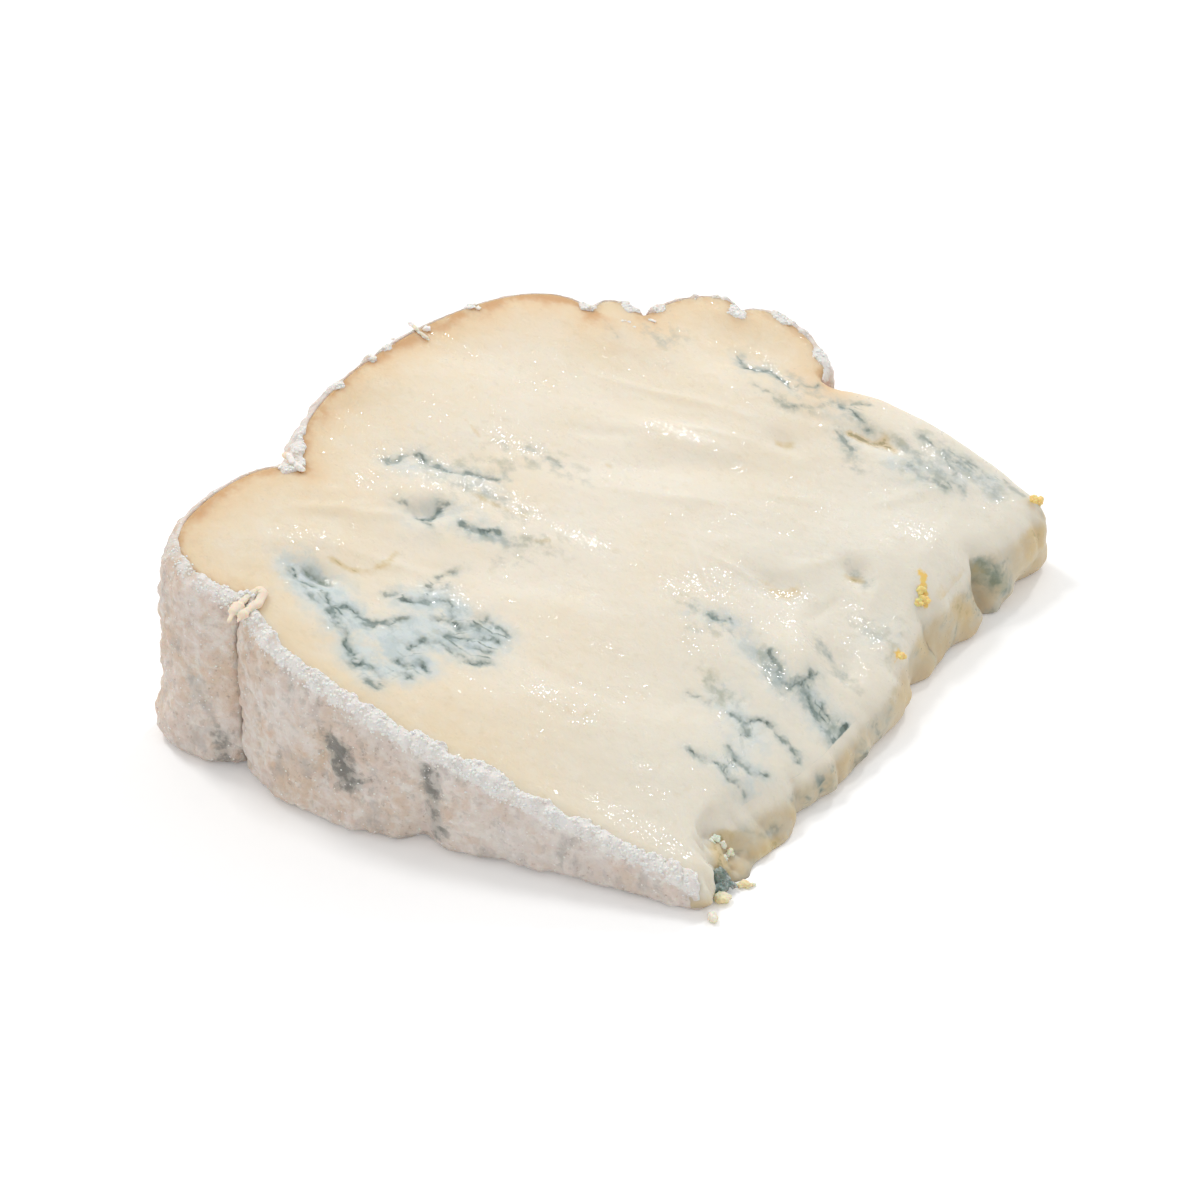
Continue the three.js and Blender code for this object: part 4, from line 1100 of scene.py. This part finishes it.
# %% Crust left on the rim's lip: where, how far along, how wide (mm)
CRUST = [
    ((-96.3, 25), 2.2, 1.9), ((-98.3, 28.2), 2.6, 1.9), ((-99.4, 32.5), 2, 1.3), ((-100.6, 45.5), 1.6, 1.2),
    ((-100, 54.9), 1, 1.6), ((-99.7, 59.6), 2.2, 0.8), ((-98, 66.6), 1.2, 0.9), ((-94.3, 78.6), 1.6, 1),
    ((-80, 95.3), 1.2, 2), ((-74.1, 101.1), 1.8, 2.4), ((-72, 104.4), 1.8, 2.4), ((-66.5, 111.9), 1.1, 1.6),
    ((-62.7, 114.6), 2.2, 1.9), ((-59.7, 114.6), 1.6, 3), ((-52.9, 119.2), 2.4, 1.9),
    ((-48.9, 118.9), 1.8, 1.4), ((-43.2, 116.9), 2.5, 1.8), ((-40.7, 114.3), 1.5, 1.5),
]

# %% Thickness: powdery lumps, a ragged lip and tapered ends
def puffs(points, size, seed):
    """Rounded cushions with sharp valleys, about 0 to 1."""
    return np.abs(clouds(points, size, seed, 2)) * 1.6


run = run_along(skin.edge[stations])
left_over = run[-1] - run
torn_end = 1.3 * clouds(outer.reshape(-1, 3), 2.2, 24, 2).reshape(n_profile, n_stations)
taper = eased(run, 0, 6) * eased(left_over, 0, 0.8) * eased(left_over + torn_end, 0.4, 2.4)
lobe_at = skin.lobe[stations]
is_front = (lobe_at >= FRONT_CORNER) | (lobe_at <= OOZING)
front = np.convolve(np.pad(is_front.astype(float), 12, mode="edge"), np.ones(25) / 25, mode="valid")
points = outer.reshape(-1, 3)
lumps = 0.4 * clouds(points, 8, 21, 2) + 0.4 * (puffs(points, 3.4, 22) - 0.4)
lumps += 0.16 * clouds(points, 1.1, 23, 2)
thick = (0.3 + lumps).reshape(n_profile, n_stations)
inset_at = np.concatenate([np.full(len(RIND_SHARES), -1.0), STRIP])
print("lumps", round(float(thick.min()), 2), "to", round(float(thick.max()), 2), "mm proud of the solid")

# %% The lip at the cut: how wide and how high at every station
along_line = np.c_[skin.edge[stations], 0 * front]
ragged = 0.7 * clouds(along_line, 4, 31, 2) + 0.6 * clouds(along_line, 1.5, 32, 2)
towards_tip = eased(skin.edge[stations, 0], -94, -40)
lip_wide = 0.05 + front * (0.7 + 1.2 * towards_tip) * (1 + 0.55 * ragged)
for at, reach_along, wide in CRUST:
    far = np.linalg.norm(skin.edge[stations] - np.array(at), axis=1)
    lip_wide = np.maximum(lip_wide, wide * np.exp(-((far / reach_along) ** 2)) * (1 + 0.4 * ragged))
crusted = eased(lip_wide, 0.3, 1.0)  # how much of a lip there is, 0 to 1
lip_high = -0.15 + (0.35 + 0.2 * front) * crusted
lip_high += (0.25 + 0.25 * front) * crusted * (puffs(along_line, 2.4, 33) - 0.4)
for level in range(len(RIND_SHARES), n_profile):
    beyond = eased(inset_at[level] / np.maximum(lip_wide, 0.12), 0.7, 1.25)
    grainy = 0.55 * (puffs(outer[level], 1.4, 34) - 0.4)
    thick[level] = (lip_high + grainy * crusted * (0.4 + 0.6 * front)) * (1 - beyond) - 0.45 * beyond
below_edge = (1 - outer[:, :, 2] / skin.rim[stations]) * skin.rim[stations]
near_lip = eased(below_edge, 2.6, 0.3) * (inset_at < 0)[:, None]
thick = thick * (1 - 0.8 * near_lip) + lip_high[None] * 0.8 * near_lip
foot_fade = eased(outer[:, :, 2], 0, 1.5)
thick = np.where(inset_at[:, None] < 0, thick * (0.5 + 0.5 * foot_fade), thick)
thick = thick * taper - 0.5 * (1 - taper)
print("lip", round(float(lip_wide.min()), 2), "to", round(float(lip_wide.max()), 2), "mm wide")

# %% The outer skin with a rounded front corner, and the inner skin that closes the shell
INNER_DEPTH, INNER_STEP = 0.9, 6  # mm under the outline, and outer levels for each inner one
outer_skin = outer + outer_normal * thick[:, :, None]
corner = np.exp(-((np.arange(n_profile) - len(RIND_SHARES)) / 4.0) ** 2)
corner = corner[1:-1, None, None] * front[None, :, None]
for _ in range(5):
    halfway = (outer_skin[:-2] + outer_skin[2:]) / 2
    outer_skin[1:-1] += 0.6 * corner * (halfway - outer_skin[1:-1])
inner_levels = np.r_[n_profile - 1, np.arange(n_profile - 2, 0, -INNER_STEP), 0]
inner_skin = outer[inner_levels] - outer_normal[inner_levels] * INNER_DEPTH
shell = np.concatenate([outer_skin, inner_skin])
shell[:, :, 2] = np.maximum(shell[:, :, 2], 0)
print("shell", shell.shape[:2], "levels and stations")

# %% The closed shell, with its two ends capped
def tube_faces(profile, stations):
    """Quads of a closed profile swept along stations, and a fan at each end."""
    k = np.arange(stations - 1)
    pairs = [(l * stations, (l + 1) % profile * stations) for l in range(profile)]
    faces = np.concatenate([np.c_[l + k, l + k + 1, m + k + 1, m + k] for l, m in pairs]).tolist()
    start, end = profile * stations, profile * stations + 1
    for l, m in pairs:
        faces += [(start, l, m), (end, m + stations - 1, l + stations - 1)]
    return faces


ends = np.array([shell[:, 0].mean(0), shell[:, -1].mean(0)])
rind = mesh_piece("rind", np.concatenate([shell.reshape(-1, 3), ends]), tube_faces(len(shell), n_stations))
print("rind", len(rind.data.polygons), "faces")

# %% Where the rind has dark streaks, a lip, painted shade in its creases, and powder
spots = soft_spots(shell[:, :, [0, 2]].reshape(-1, 2), [(1.5 * r, k, line) for r, k, line in FRONT_DARK_STREAKS])
on_front = is_front[None] & (np.arange(len(shell)) < n_profile)[:, None]
streaks = spots.reshape(on_front.shape) * on_front
lipness, powdered = np.zeros((2, *streaks.shape))
lipness[:n_profile] = np.where(inset_at[:, None] >= 0, 1.0, near_lip)
lipness *= (0.2 + 0.8 * crusted)[None]
# Painted shade: the rind darkens to reddish brown in the creases between lobes
shaded_crease = skin.in_crease[stations][None] * (1 - 0.8 * lipness)
powdered[:n_profile] = (inset_at[:, None] < lip_wide[None]) * taper * (shell[:n_profile, :, 2] > 0.7)
powdered *= 0.15 + 2.0 * lipness
for name, columns in (("skin", (streaks, lipness, 0 * streaks)), ("crease_shade_and_powder", (shaded_crease, powdered, 0 * streaks))):
    values = np.stack(columns, 2).reshape(-1, 3)
    store(rind.data, name, np.concatenate([values, values[:2]]))
print("streaked", int((streaks > 0.3).sum()), "points; lip", int((lipness > 0.5).sum()), "points")

# %% [markdown]
# Its finish is dry and mottled: whitish grey bloom over a pink and peach skin, with grey mould where the
# wheel was handled. Two scales of bump give the powder, while the lumps are in the mesh.

# %% Powdery rind finish
PINK_SKIN, PEACH_SKIN, GREY_SKIN, PEACH = (227, 210, 198), (225, 202, 180), (232, 226, 222), (222, 196, 173)
FLUFF, GREY_MOULD, PIT_SHADE = (242, 234, 226), (190, 184, 178), (176, 152, 134)
CREASE_SHADE, DEEP_CREASE_SHADE, LIP = (212, 178, 160), (160, 114, 92), (248, 243, 238)
STREAK_HALO, DARK_STREAK = (176, 174, 167), (122, 120, 114)
rind_finish, tree, shader = finish_of("bloomy_rind", Roughness=0.92, Subsurface_Weight=0.15,
                                      Subsurface_Scale=0.002, Sheen_Weight=0.15, Sheen_Roughness=0.6)
streaked, lip_here, _ = kept(tree, "skin")
crease_shade_here = kept(tree, "crease_shade_and_powder")[0]
rightward = put(tree, "ShaderNodeSeparateXYZ", {0: in_mm(tree)}).outputs[0]
zones = mottled(tree, 8.0, 3.0, shift=44.0)
fluff = plus(tree, mottled(tree, 1.7, 8.0, shift=25.0), ramp(tree, zones, 0.35, 0.65, -0.09, 0.09))
# Painted shade of tiny pits in the powdery skin, as small pinkish brown spots
shaded_pits = ramp(tree, mottled(tree, 0.8, 6.0, shift=71.0), 0.56, 0.72, 0.0, 0.75)
streak_grain = plus(tree, streaked, ramp(tree, mottled(tree, 1.8, 7.0, shift=33.0), 0.35, 0.65, -0.45, 0.3))
lip_grain = plus(tree, lip_here, ramp(tree, mottled(tree, 1.6, 6.0, shift=83.0), 0.35, 0.65, -0.5, 0.2))
patchy = mottled(tree, 13.0, 3.0, shift=12.0, output="Patches")
skin_colour = layered(tree, tint(tree, patchy, PINK_SKIN, PEACH_SKIN), [
    (ramp(tree, rightward, -12.0, 14.0, 0.0, 0.55), GREY_SKIN),
    (ramp(tree, mottled(tree, 5.5, 6.0, shift=15.0), 0.4, 0.72, 0.0, 0.6), PEACH),
    (ramp(tree, fluff, 0.36, 0.7, 0.0, 0.8), FLUFF),
    (ramp(tree, mottled(tree, 5.0, 7.0, stretch=0.6, shift=52.0), 0.52, 0.68, 0.0, 0.6), GREY_MOULD),
    (times(tree, shaded_pits, ramp(tree, zones, 0.55, 0.42, 0.15, 1.0)), PIT_SHADE),
    # Painted shade in the creases, darkest deep in them
    (ramp(tree, crease_shade_here, 0.05, 0.5, 0.0, 0.7), CREASE_SHADE),
    (ramp(tree, crease_shade_here, 0.6, 0.95, 0.0, 0.9), DEEP_CREASE_SHADE),
    # Dark grey streaks on the front side, with a paler halo round them
    (ramp(tree, streaked, 0.02, 0.5, 0.0, 0.6), STREAK_HALO),
    (ramp(tree, streak_grain, 0.05, 0.85, 0.0, 0.85), DARK_STREAK),
    (ramp(tree, lip_grain, 0.2, 0.8, 0.0, 0.85), LIP),
])
tree.links.new(skin_colour, shader.inputs["Base Color"])
powder = times(tree, mottled(tree, 0.5, 4.0, shift=6.0), 0.25)
bumpy(tree, shader, plus(tree, mottled(tree, 2.2, 9.0, shift=2.0), powder), 0.6, 0.0014)
rind.data.materials.append(rind_finish)
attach(rind, "root")
print("rind finish has", len(tree.nodes), "nodes")

# %% [markdown]
# ## Grains of bloom, with Geometry Nodes
# The bloom on a rind stands up in tiny grains, most of them on the torn lip. Thousands of grains are a job
# for Geometry Nodes: points are scattered over the rind where its "bloom" value allows, and each point gets
# a small ball of twenty faces, squashed and sized at random. The export drops instances, so the tree makes
# them real, and the script keeps a plain mesh.

# %% Helpers for node trees that make geometry
def new_tree(name, inputs):
    """A Geometry Nodes tree with named inputs, its input sockets and its output socket."""
    tree = bpy.data.node_groups.new(name, "GeometryNodeTree")
    tree.interface.new_socket(name="Geometry", in_out="INPUT", socket_type="NodeSocketGeometry")
    tree.interface.new_socket(name="Geometry", in_out="OUTPUT", socket_type="NodeSocketGeometry")
    for label, kind in inputs.items():
        tree.interface.new_socket(name=label, in_out="INPUT", socket_type="NodeSocket" + kind)
    start = tree.nodes.new("NodeGroupInput").outputs
    end = tree.nodes.new("NodeGroupOutput").inputs["Geometry"]
    return tree, start, end


def random_between(tree, low, high, seed):
    """A random number for every point."""
    wires = {2: low, 3: high, "Seed": seed}
    return put(tree, "FunctionNodeRandomValue", wires, data_type="FLOAT").outputs[1]


def grow(tree, name, base, material, **values):
    """Runs the tree on a mesh and keeps the result as a plain mesh piece."""
    helper = bpy.data.objects.new(name + "_helper", base)
    bpy.context.scene.collection.objects.link(helper)
    modifier = helper.modifiers.new("grow", "NODES")
    modifier.node_group = tree
    values["Material"] = material
    for item in tree.interface.items_tree:
        if item.in_out == "INPUT" and item.name in values:
            modifier[item.identifier] = values[item.name]
    bpy.context.view_layer.update()
    ready = helper.evaluated_get(bpy.context.evaluated_depsgraph_get())
    mesh = bpy.data.meshes.new_from_object(ready)
    helper.modifiers.remove(modifier)
    bpy.data.objects.remove(helper)
    mesh.name = name
    piece = bpy.data.objects.new(name, mesh)
    bpy.context.scene.collection.objects.link(piece)
    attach(piece, "root")
    print(name, len(mesh.polygons), "faces")
    return piece


def balls_on(tree, points, subdivisions, rotation, scale):
    """A real ball on every point."""
    ball = put(tree, "GeometryNodeMeshIcoSphere", {"Radius": 1.0, "Subdivisions": subdivisions})
    wires = {"Points": points, "Instance": ball.outputs["Mesh"], "Rotation": rotation, "Scale": scale}
    placed = put(tree, "GeometryNodeInstanceOnPoints", wires).outputs[0]
    return put(tree, "GeometryNodeRealizeInstances", {0: placed}).outputs[0]


def hand_over(tree, geometry, material, end):
    """Smooth shading, the material and the way out."""
    smooth = put(tree, "GeometryNodeSetShadeSmooth", {0: geometry}).outputs[0]
    done = put(tree, "GeometryNodeSetMaterial", {"Geometry": smooth, "Material": material})
    tree.links.new(done.outputs[0], end)


# %% The tree: grains scattered on a surface
def scatter_tree():
    tree, start, end = new_tree("grains_on_a_surface", {
        "Density": "Float", "Smallest": "Float", "Largest": "Float", "Flatness": "Float", "Seed": "Int",
        "Material": "Material"})
    bloom = put(tree, "GeometryNodeInputNamedAttribute", {"Name": "bloom"}, data_type="FLOAT").outputs[0]
    density = times(tree, start["Density"], bloom)
    wires = {"Mesh": start["Geometry"], "Density": density, "Seed": start["Seed"]}
    spots = put(tree, "GeometryNodeDistributePointsOnFaces", wires, distribute_method="RANDOM")
    size = random_between(tree, start["Smallest"], start["Largest"], start["Seed"])
    size = times(tree, size, plus(tree, 0.8, times(tree, bloom, 0.35)))
    wide = times(tree, size, random_between(tree, 0.7, 1.5, 3))
    squash = times(tree, size, start["Flatness"])
    scale = put(tree, "ShaderNodeCombineXYZ", {"X": wide, "Y": size, "Z": squash}).outputs[0]
    real = balls_on(tree, spots.outputs["Points"], 1, spots.outputs["Rotation"], scale)
    hand_over(tree, real, start["Material"], end)
    return tree


GRAINS = scatter_tree()
bloom_base = rind.data.copy()
bloom_values = bloom_base.attributes.new("bloom", "FLOAT", "POINT")
bloom_values.data.foreach_set("value", np.append(powdered, [0, 0]).astype(np.float32))
bloom_finish, *_ = two_toned("bloom", (245, 236, 228), (252, 248, 244), 3.0, 3.0, 4.0, Roughness=0.95,
                             Subsurface_Weight=0.2, Subsurface_Scale=0.001)
bloom = grow(GRAINS, "bloom_grains", bloom_base, bloom_finish, Density=1000000.0, Smallest=0.0001,
             Largest=0.00024, Flatness=0.6, Seed=4)

# %% [markdown]
# ## Lumps placed one by one
# Some small things stand apart: balls of crust on the rim, a chunk of blue mould at the tip, yellow growths
# on the broken edge, a few crumbs and flakes of torn paste. They share one tree. It puts a ball on every
# point of a helper mesh, sized and turned by the point's own values, and pushes its surface about with
# noise, so that no two lumps are alike.

# %% The tree: noisy lumps on points
def lump_tree():
    tree, start, end = new_tree("lumps_on_points", {
        "Noise Size": "Float", "Noise Depth": "Float", "Material": "Material"})

    def value(name):
        node = put(tree, "GeometryNodeInputNamedAttribute", {"Name": name}, data_type="FLOAT_VECTOR")
        return node.outputs[0]

    points = put(tree, "GeometryNodeMeshToPoints", {"Mesh": start["Geometry"]}).outputs[0]
    turn = put(tree, "FunctionNodeEulerToRotation", {0: value("turn")}).outputs[0]
    real = balls_on(tree, points, 4, turn, value("size"))
    wires = {"Scale": maths(tree, "DIVIDE", 1.0, start["Noise Size"]), "Detail": 3.0, "Roughness": 0.55,
             "Vector": put(tree, "GeometryNodeInputPosition").outputs[0]}
    noise = put(tree, "ShaderNodeTexNoise", wires).outputs["Fac"]
    depth = times(tree, maths(tree, "SUBTRACT", noise, 0.5), start["Noise Depth"])
    push_out = vectors(tree, "SCALE", put(tree, "GeometryNodeInputNormal").outputs[0], depth)
    moved = put(tree, "GeometryNodeSetPosition", {"Geometry": real, "Offset": push_out}).outputs[0]
    hand_over(tree, moved, start["Material"], end)
    return tree


LUMPS = lump_tree()


def lumps_at(name, rows, material, noise_size, noise_depth, height=1.0):
    """Lumps from rows of x, y, z, three half sizes (mm) and a turn about z and about y (degrees)."""
    rows = np.array(rows, float)
    rows[:, 5] *= height
    base = bpy.data.meshes.new(name + "_points")
    base.from_pydata(((rows[:, :3] - MIDDLE) / 1000).tolist(), [], [])
    turns = np.c_[0 * rows[:, 6], np.radians(rows[:, 7]), np.radians(rows[:, 6])]
    store(base, "size", rows[:, 3:6] / 1000)
    store(base, "turn", turns)
    depths = {"Noise Size": noise_size / 1000, "Noise Depth": noise_depth / 1000}
    piece = grow(LUMPS, name, base, material, **depths)
    for v in piece.data.vertices:
        v.co.z = max(v.co.z, 0)


# %% Crust balls and flecks on the rim
RIM_BITS = [
    (-94.2, 24.9, 40.4, 1.3, 0.75, 0.7, -15, 15), (-96.3, 25.3, 41.2, 1.3, 0.6, 0.55, -30, 15),
    (-97.1, 68.2, 45.1, 0.75, 0.75, 0.65, 0, 0), (-99.6, 67, 45.8, 0.8, 0.4, 0.35, -10, 10),
    (-98.1, 66.6, 45.3, 0.9, 0.35, 0.3, -20, 15), (-96.4, 66.3, 44.7, 1.2, 0.3, 0.25, -5, 19),
    (-99.8, 54.9, 44.9, 0.9, 0.7, 0.6, 20, 0), (-99.8, 58.9, 45.2, 0.4, 0.35, 0.3, 0, 0),
    (-99.9, 61.4, 45.6, 0.4, 0.35, 0.3, 0, 0), (-100.6, 45.7, 44.2, 0.6, 0.4, 0.35, 60, 0),
    (-94.5, 78.5, 45.4, 0.9, 0.5, 0.35, 40, 0), (-93.3, 79.2, 45.2, 0.5, 0.4, 0.3, 0, 0),
    (-73.4, 96.5, 40.0, 0.8, 0.45, 0.35, 30, 0), (-72.4, 96.9, 39.7, 0.6, 0.45, 0.3, 0, 0),
    (-71, 96.7, 39.3, 0.5, 0.4, 0.3, 0, 0), (-70.4, 96.4, 39.0, 0.45, 0.4, 0.3, 50, 0),
    (-69.5, 100.5, 39.2, 1.0, 0.35, 0.3, 10, 0), (-79.5, 94.8, 42, 0.8, 0.5, 0.4, 0, 0),
    (-59.5, 114.2, 37, 0.9, 0.7, 0.4, 20, 0), (-60.6, 113.2, 37.3, 0.5, 0.4, 0.3, 0, 0),
]
lumps_at("rim_bits", RIM_BITS, bloom_finish, 0.8, 1.0, height=0.7)

# %% The mould chunk at the tip
mould_finish, tree, shader, shade = two_toned(
    "blue_mould", (150, 167, 162), (198, 208, 204), 0.8, 4.0, 3.0, "Patches", Roughness=0.7,
    Subsurface_Weight=0.2, Subsurface_Scale=0.002)
shade = tint(tree, mottled(tree, 2.4, 3.0, shift=7.0, output="Patches"), shade, (122, 137, 126))
tree.links.new(shade, shader.inputs["Base Color"])
bumpy(tree, shader, mottled(tree, 0.5, 4.0, shift=1.0), 0.8, 0.0008)
TIP_MOULD = [
    (-1.3, 8.4, 2.2, 1.7, 1.5, 1.3, 30, 0), (-0.2, 7.6, 1.2, 1.5, 1.1, 1.1, 60, 0),
    (-1.2, 6.4, 1.0, 1.3, 1.2, 1.0, 0, 0), (0.9, 8.8, 0.9, 0.9, 0.35, 0.4, 20, 0),
    (-2.2, 7.2, 1.6, 1.2, 1.0, 1.2, 0, 0),
]
lumps_at("tip_mould", TIP_MOULD, mould_finish, 1.3, 2.6)

# %% Yellow growths on the broken edge
yellow_finish, *_ = two_toned("yellow_growth", (243, 205, 112), (246, 222, 158), 1.0, 3.0, 2.0,
                              Roughness=0.45, Subsurface_Weight=0.4, Subsurface_Scale=0.002)
YELLOW_LUMPS = [
    (-3.7, 83.4, 13.9, 1.2, 0.8, 0.7, 60, 0), (-3.3, 81.9, 13.8, 1.3, 0.9, 0.7, 70, 0),
    (-2, 80.9, 13.2, 1.1, 0.8, 0.7, 20, 0), (-2.4, 79.7, 13.1, 0.9, 0.7, 0.6, 0, 0),
    (1.2, 66.8, 10.8, 0.8, 0.5, 0.5, 60, 30), (2, 117.3, 15.2, 1.1, 0.8, 0.6, 40, 0),
    (1.4, 120.8, 1.8, 1.0, 0.8, 1.3, 40, 0),
    (2.2, 119, 13.8, 0.7, 0.6, 0.9, 40, 0),
]
lumps_at("yellow_growth", YELLOW_LUMPS, yellow_finish, 1.0, 2.0)

# %% Crumbs beside the tip
crumb_finish, *_ = two_toned("pale_crumb", (247, 240, 224), (243, 226, 180), 6.0, 1.0, 5.0, "Patches",
                             Roughness=0.6, Subsurface_Weight=0.4, Subsurface_Scale=0.002)
CRUMBS = [
    (2.1, 0.5, 0.8, 0.7, 0.9, 0.85, 30, 0), (1.5, 1.3, 0.5, 0.6, 0.5, 0.5, 0, 0),
    (2.2, 10.4, 0.45, 1.3, 0.7, 0.5, 20, 0), (3.4, 11.6, 0.3, 0.5, 0.4, 0.3, 0, 0),
    (1.0, 5.4, 0.8, 1.4, 1.1, 0.85, 50, 0),
]
lumps_at("crumbs", CRUMBS, crumb_finish, 0.9, 1.7)

# %% Torn flakes in the cavity
TORN = [
    (-5.4, 12.4, 4.4, 0.9, 0.6, 0.9, 20, 0), (-4.6, 11.4, 3.6, 0.8, 0.6, 0.8, -30, 10),
    (-4.2, 12.4, 3.0, 0.8, 0.7, 0.9, 10, 0), (-5.2, 13.6, 4.8, 1.0, 0.6, 0.7, 50, 10),
    (-3.4, 10.4, 2.2, 0.7, 0.6, 0.9, 0, 0), (-3.0, 12.6, 1.8, 0.9, 0.6, 1.0, 70, 0),
    (-2.2, 11.2, 1.2, 0.7, 0.5, 0.8, 60, 0), (-4.0, 14.0, 3.4, 0.8, 0.6, 0.9, 30, 0),
    (-2.8, 14.2, 2.0, 0.9, 0.6, 1.1, 10, 0), (-1.8, 16.2, 1.2, 1.1, 0.6, 0.9, 50, 0),
]
lumps_at("torn_flakes", TORN, crumb_finish, 0.9, 1.8)

# %% [markdown]
# ## The rind's curl at the front notch, and threads on the rim
# Where two lobes meet, the rind was folded in and its end curls over the paste, and the rim carries two loose
# threads. Each is a thin strand that follows a path, so it is swept: a flattened ring of points is carried
# along the path and tapers at its ends.

# %% Sweep a lumpy strand along a path
def strand(path, radius, flat_share=0.55, sides=12, step=0.2):
    """Points of one closed strand, with its number of sides and of stations. The path is smoothed and walked
    in even steps.
    """
    path = np.array(path, float)
    run = run_along(path)
    at = np.linspace(0, run[-1], max(6, int(run[-1] / step)))
    line = np.stack([np.interp(at, run, path[:, k]) for k in range(3)], 1)
    for _ in range(6):
        line[1:-1] = (line[:-2] + 2 * line[1:-1] + line[2:]) / 4
    way = np.gradient(line, axis=0)
    way /= np.linalg.norm(way, axis=1)[:, None]
    side = np.cross(way, (0, 0, 1))
    side /= np.linalg.norm(side, axis=1)[:, None]
    up = np.cross(side, way)
    end_share = np.linspace(0, 1, len(line))
    thickness = radius * np.sqrt(np.clip(np.minimum(end_share, 1 - end_share) * 8, 0.02, 1))
    thickness *= 1 + 0.5 * clouds(line, 1.1, 51, 2)
    angle = 2 * math.pi * np.arange(sides) / sides
    ring = side[:, None] * np.cos(angle)[None, :, None]
    ring = ring + up[:, None] * np.sin(angle)[None, :, None] * flat_share
    points = line[:, None] + ring * thickness[:, None, None]
    return points.transpose(1, 0, 2).reshape(-1, 3), sides, len(line)


# %% The three strands: path and radius (mm)
CURLS = [
    ([(-84, -9.8, 32.6), (-84.5, -7.7, 33.2), (-84.7, -5.3, 33.6), (-84.6, -2.9, 33.9), (-84.0, -1.3, 34.1),
      (-82.9, -1.6, 33.9), (-82.3, -3.6, 33.5), (-82.6, -5.2, 33.4), (-83, -6.8, 33.2),
      (-82.8, -8.8, 32.6)], 0.95),
    ([(-98.3, 26.1, 41.3), (-96.8, 25.4, 40.9), (-95.3, 25.1, 40.5), (-94.2, 24.8, 40.2)], 0.65),
    ([(-99.5, 67, 45.9), (-98.1, 66.5, 45.5), (-96.7, 66.3, 45.0), (-95.4, 66.2, 44.6)], 0.42),
]
all_points, all_faces, first_point = [], [], 0
for path, radius in CURLS:
    strand_points, sides_round, along_count = strand(path, radius)
    ends = [strand_points[at::along_count].mean(0) for at in (0, along_count - 1)]
    all_points.append(np.concatenate([strand_points, ends]))
    all_faces += [tuple(int(i) + first_point for i in f) for f in tube_faces(sides_round, along_count)]
    first_point += len(strand_points) + 2
curl_finish, *_ = two_toned("folded_rind", (238, 214, 190), (245, 230, 212), 1.5, 4.0, 5.0, Roughness=0.6,
                            Subsurface_Weight=0.4, Subsurface_Scale=0.002)
rind_curls = mesh_piece("rind_curls", np.concatenate(all_points), all_faces, curl_finish)
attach(rind_curls, "root")
print("rind_curls", len(rind_curls.data.polygons), "faces")

# %% [markdown]
# ## Floor, light and camera
# A wide pale floor and a white world give the soft studio look. A large lamp high on the left makes the short
# shadow on the right, and a small one behind the slice is mirrored in its wet spots. The camera looks down on
# the slice from its thin front. The floor shines a little for the camera alone, which makes it white without
# lighting the slice from below.

# %% Pale floor and soft studio light
scene = bpy.context.scene
bpy.ops.mesh.primitive_plane_add(size=6, location=(0, 0, 0))
floor = bpy.context.object
floor.name = "floor"
floor_finish, floor_tree, floor_shader = finish_of("pale_floor", Roughness=0.9)
floor_shader.inputs["Base Color"].default_value = (0.95, 0.95, 0.95, 1)
floor_shader.inputs["Emission Color"].default_value = (1, 1, 1, 1)
seen = put(floor_tree, "ShaderNodeLightPath").outputs["Is Camera Ray"]
floor_tree.links.new(times(floor_tree, seen, 0.13), floor_shader.inputs["Emission Strength"])
floor.data.materials.append(floor_finish)
world = bpy.data.worlds.new("white_room")
scene.world = world
world.use_nodes = True
background = world.node_tree.nodes["Background"].inputs
background["Color"].default_value = (1, 1, 1, 1)
background["Strength"].default_value = 0.72


def lamp(name, at, size, power):
    """A square lamp that looks at the slice."""
    data = bpy.data.lights.new(name, "AREA")
    data.shape, data.size, data.energy = "SQUARE", size, power
    light = bpy.data.objects.new(name, data)
    scene.collection.objects.link(light)
    light.location = at
    light.rotation_euler = (Vector((0, 0, 0.01)) - light.location).to_track_quat("-Z", "Y").to_euler()


lamp("window", (-0.7, 0.13, 1.13), 0.28, 5.0)
lamp("glint", (-0.06, 0.98, 0.98), 0.14, 3.5)

# %% The camera, at the photograph's angle
TARGET, DISTANCE = (-0.00957, 0.01177, 0.0), 0.60606
AZIMUTH, ELEVATION = math.radians(31.6), math.radians(35)
camera_data = bpy.data.cameras.new("camera")
camera_data.lens, camera_data.sensor_width = 100, 36
camera_data.clip_start, camera_data.clip_end = 0.01, 100
camera = bpy.data.objects.new("camera", camera_data)
scene.collection.objects.link(camera)
back = Vector((math.sin(AZIMUTH) * math.cos(ELEVATION), -math.cos(AZIMUTH) * math.cos(ELEVATION),
               math.sin(ELEVATION)))
camera.location = Vector(TARGET) + back * DISTANCE
camera.rotation_euler = (-back).to_track_quat("-Z", "Y").to_euler()
scene.camera = camera
scene.view_settings.view_transform = "Standard"
print("camera at", [round(v, 3) for v in camera.location])
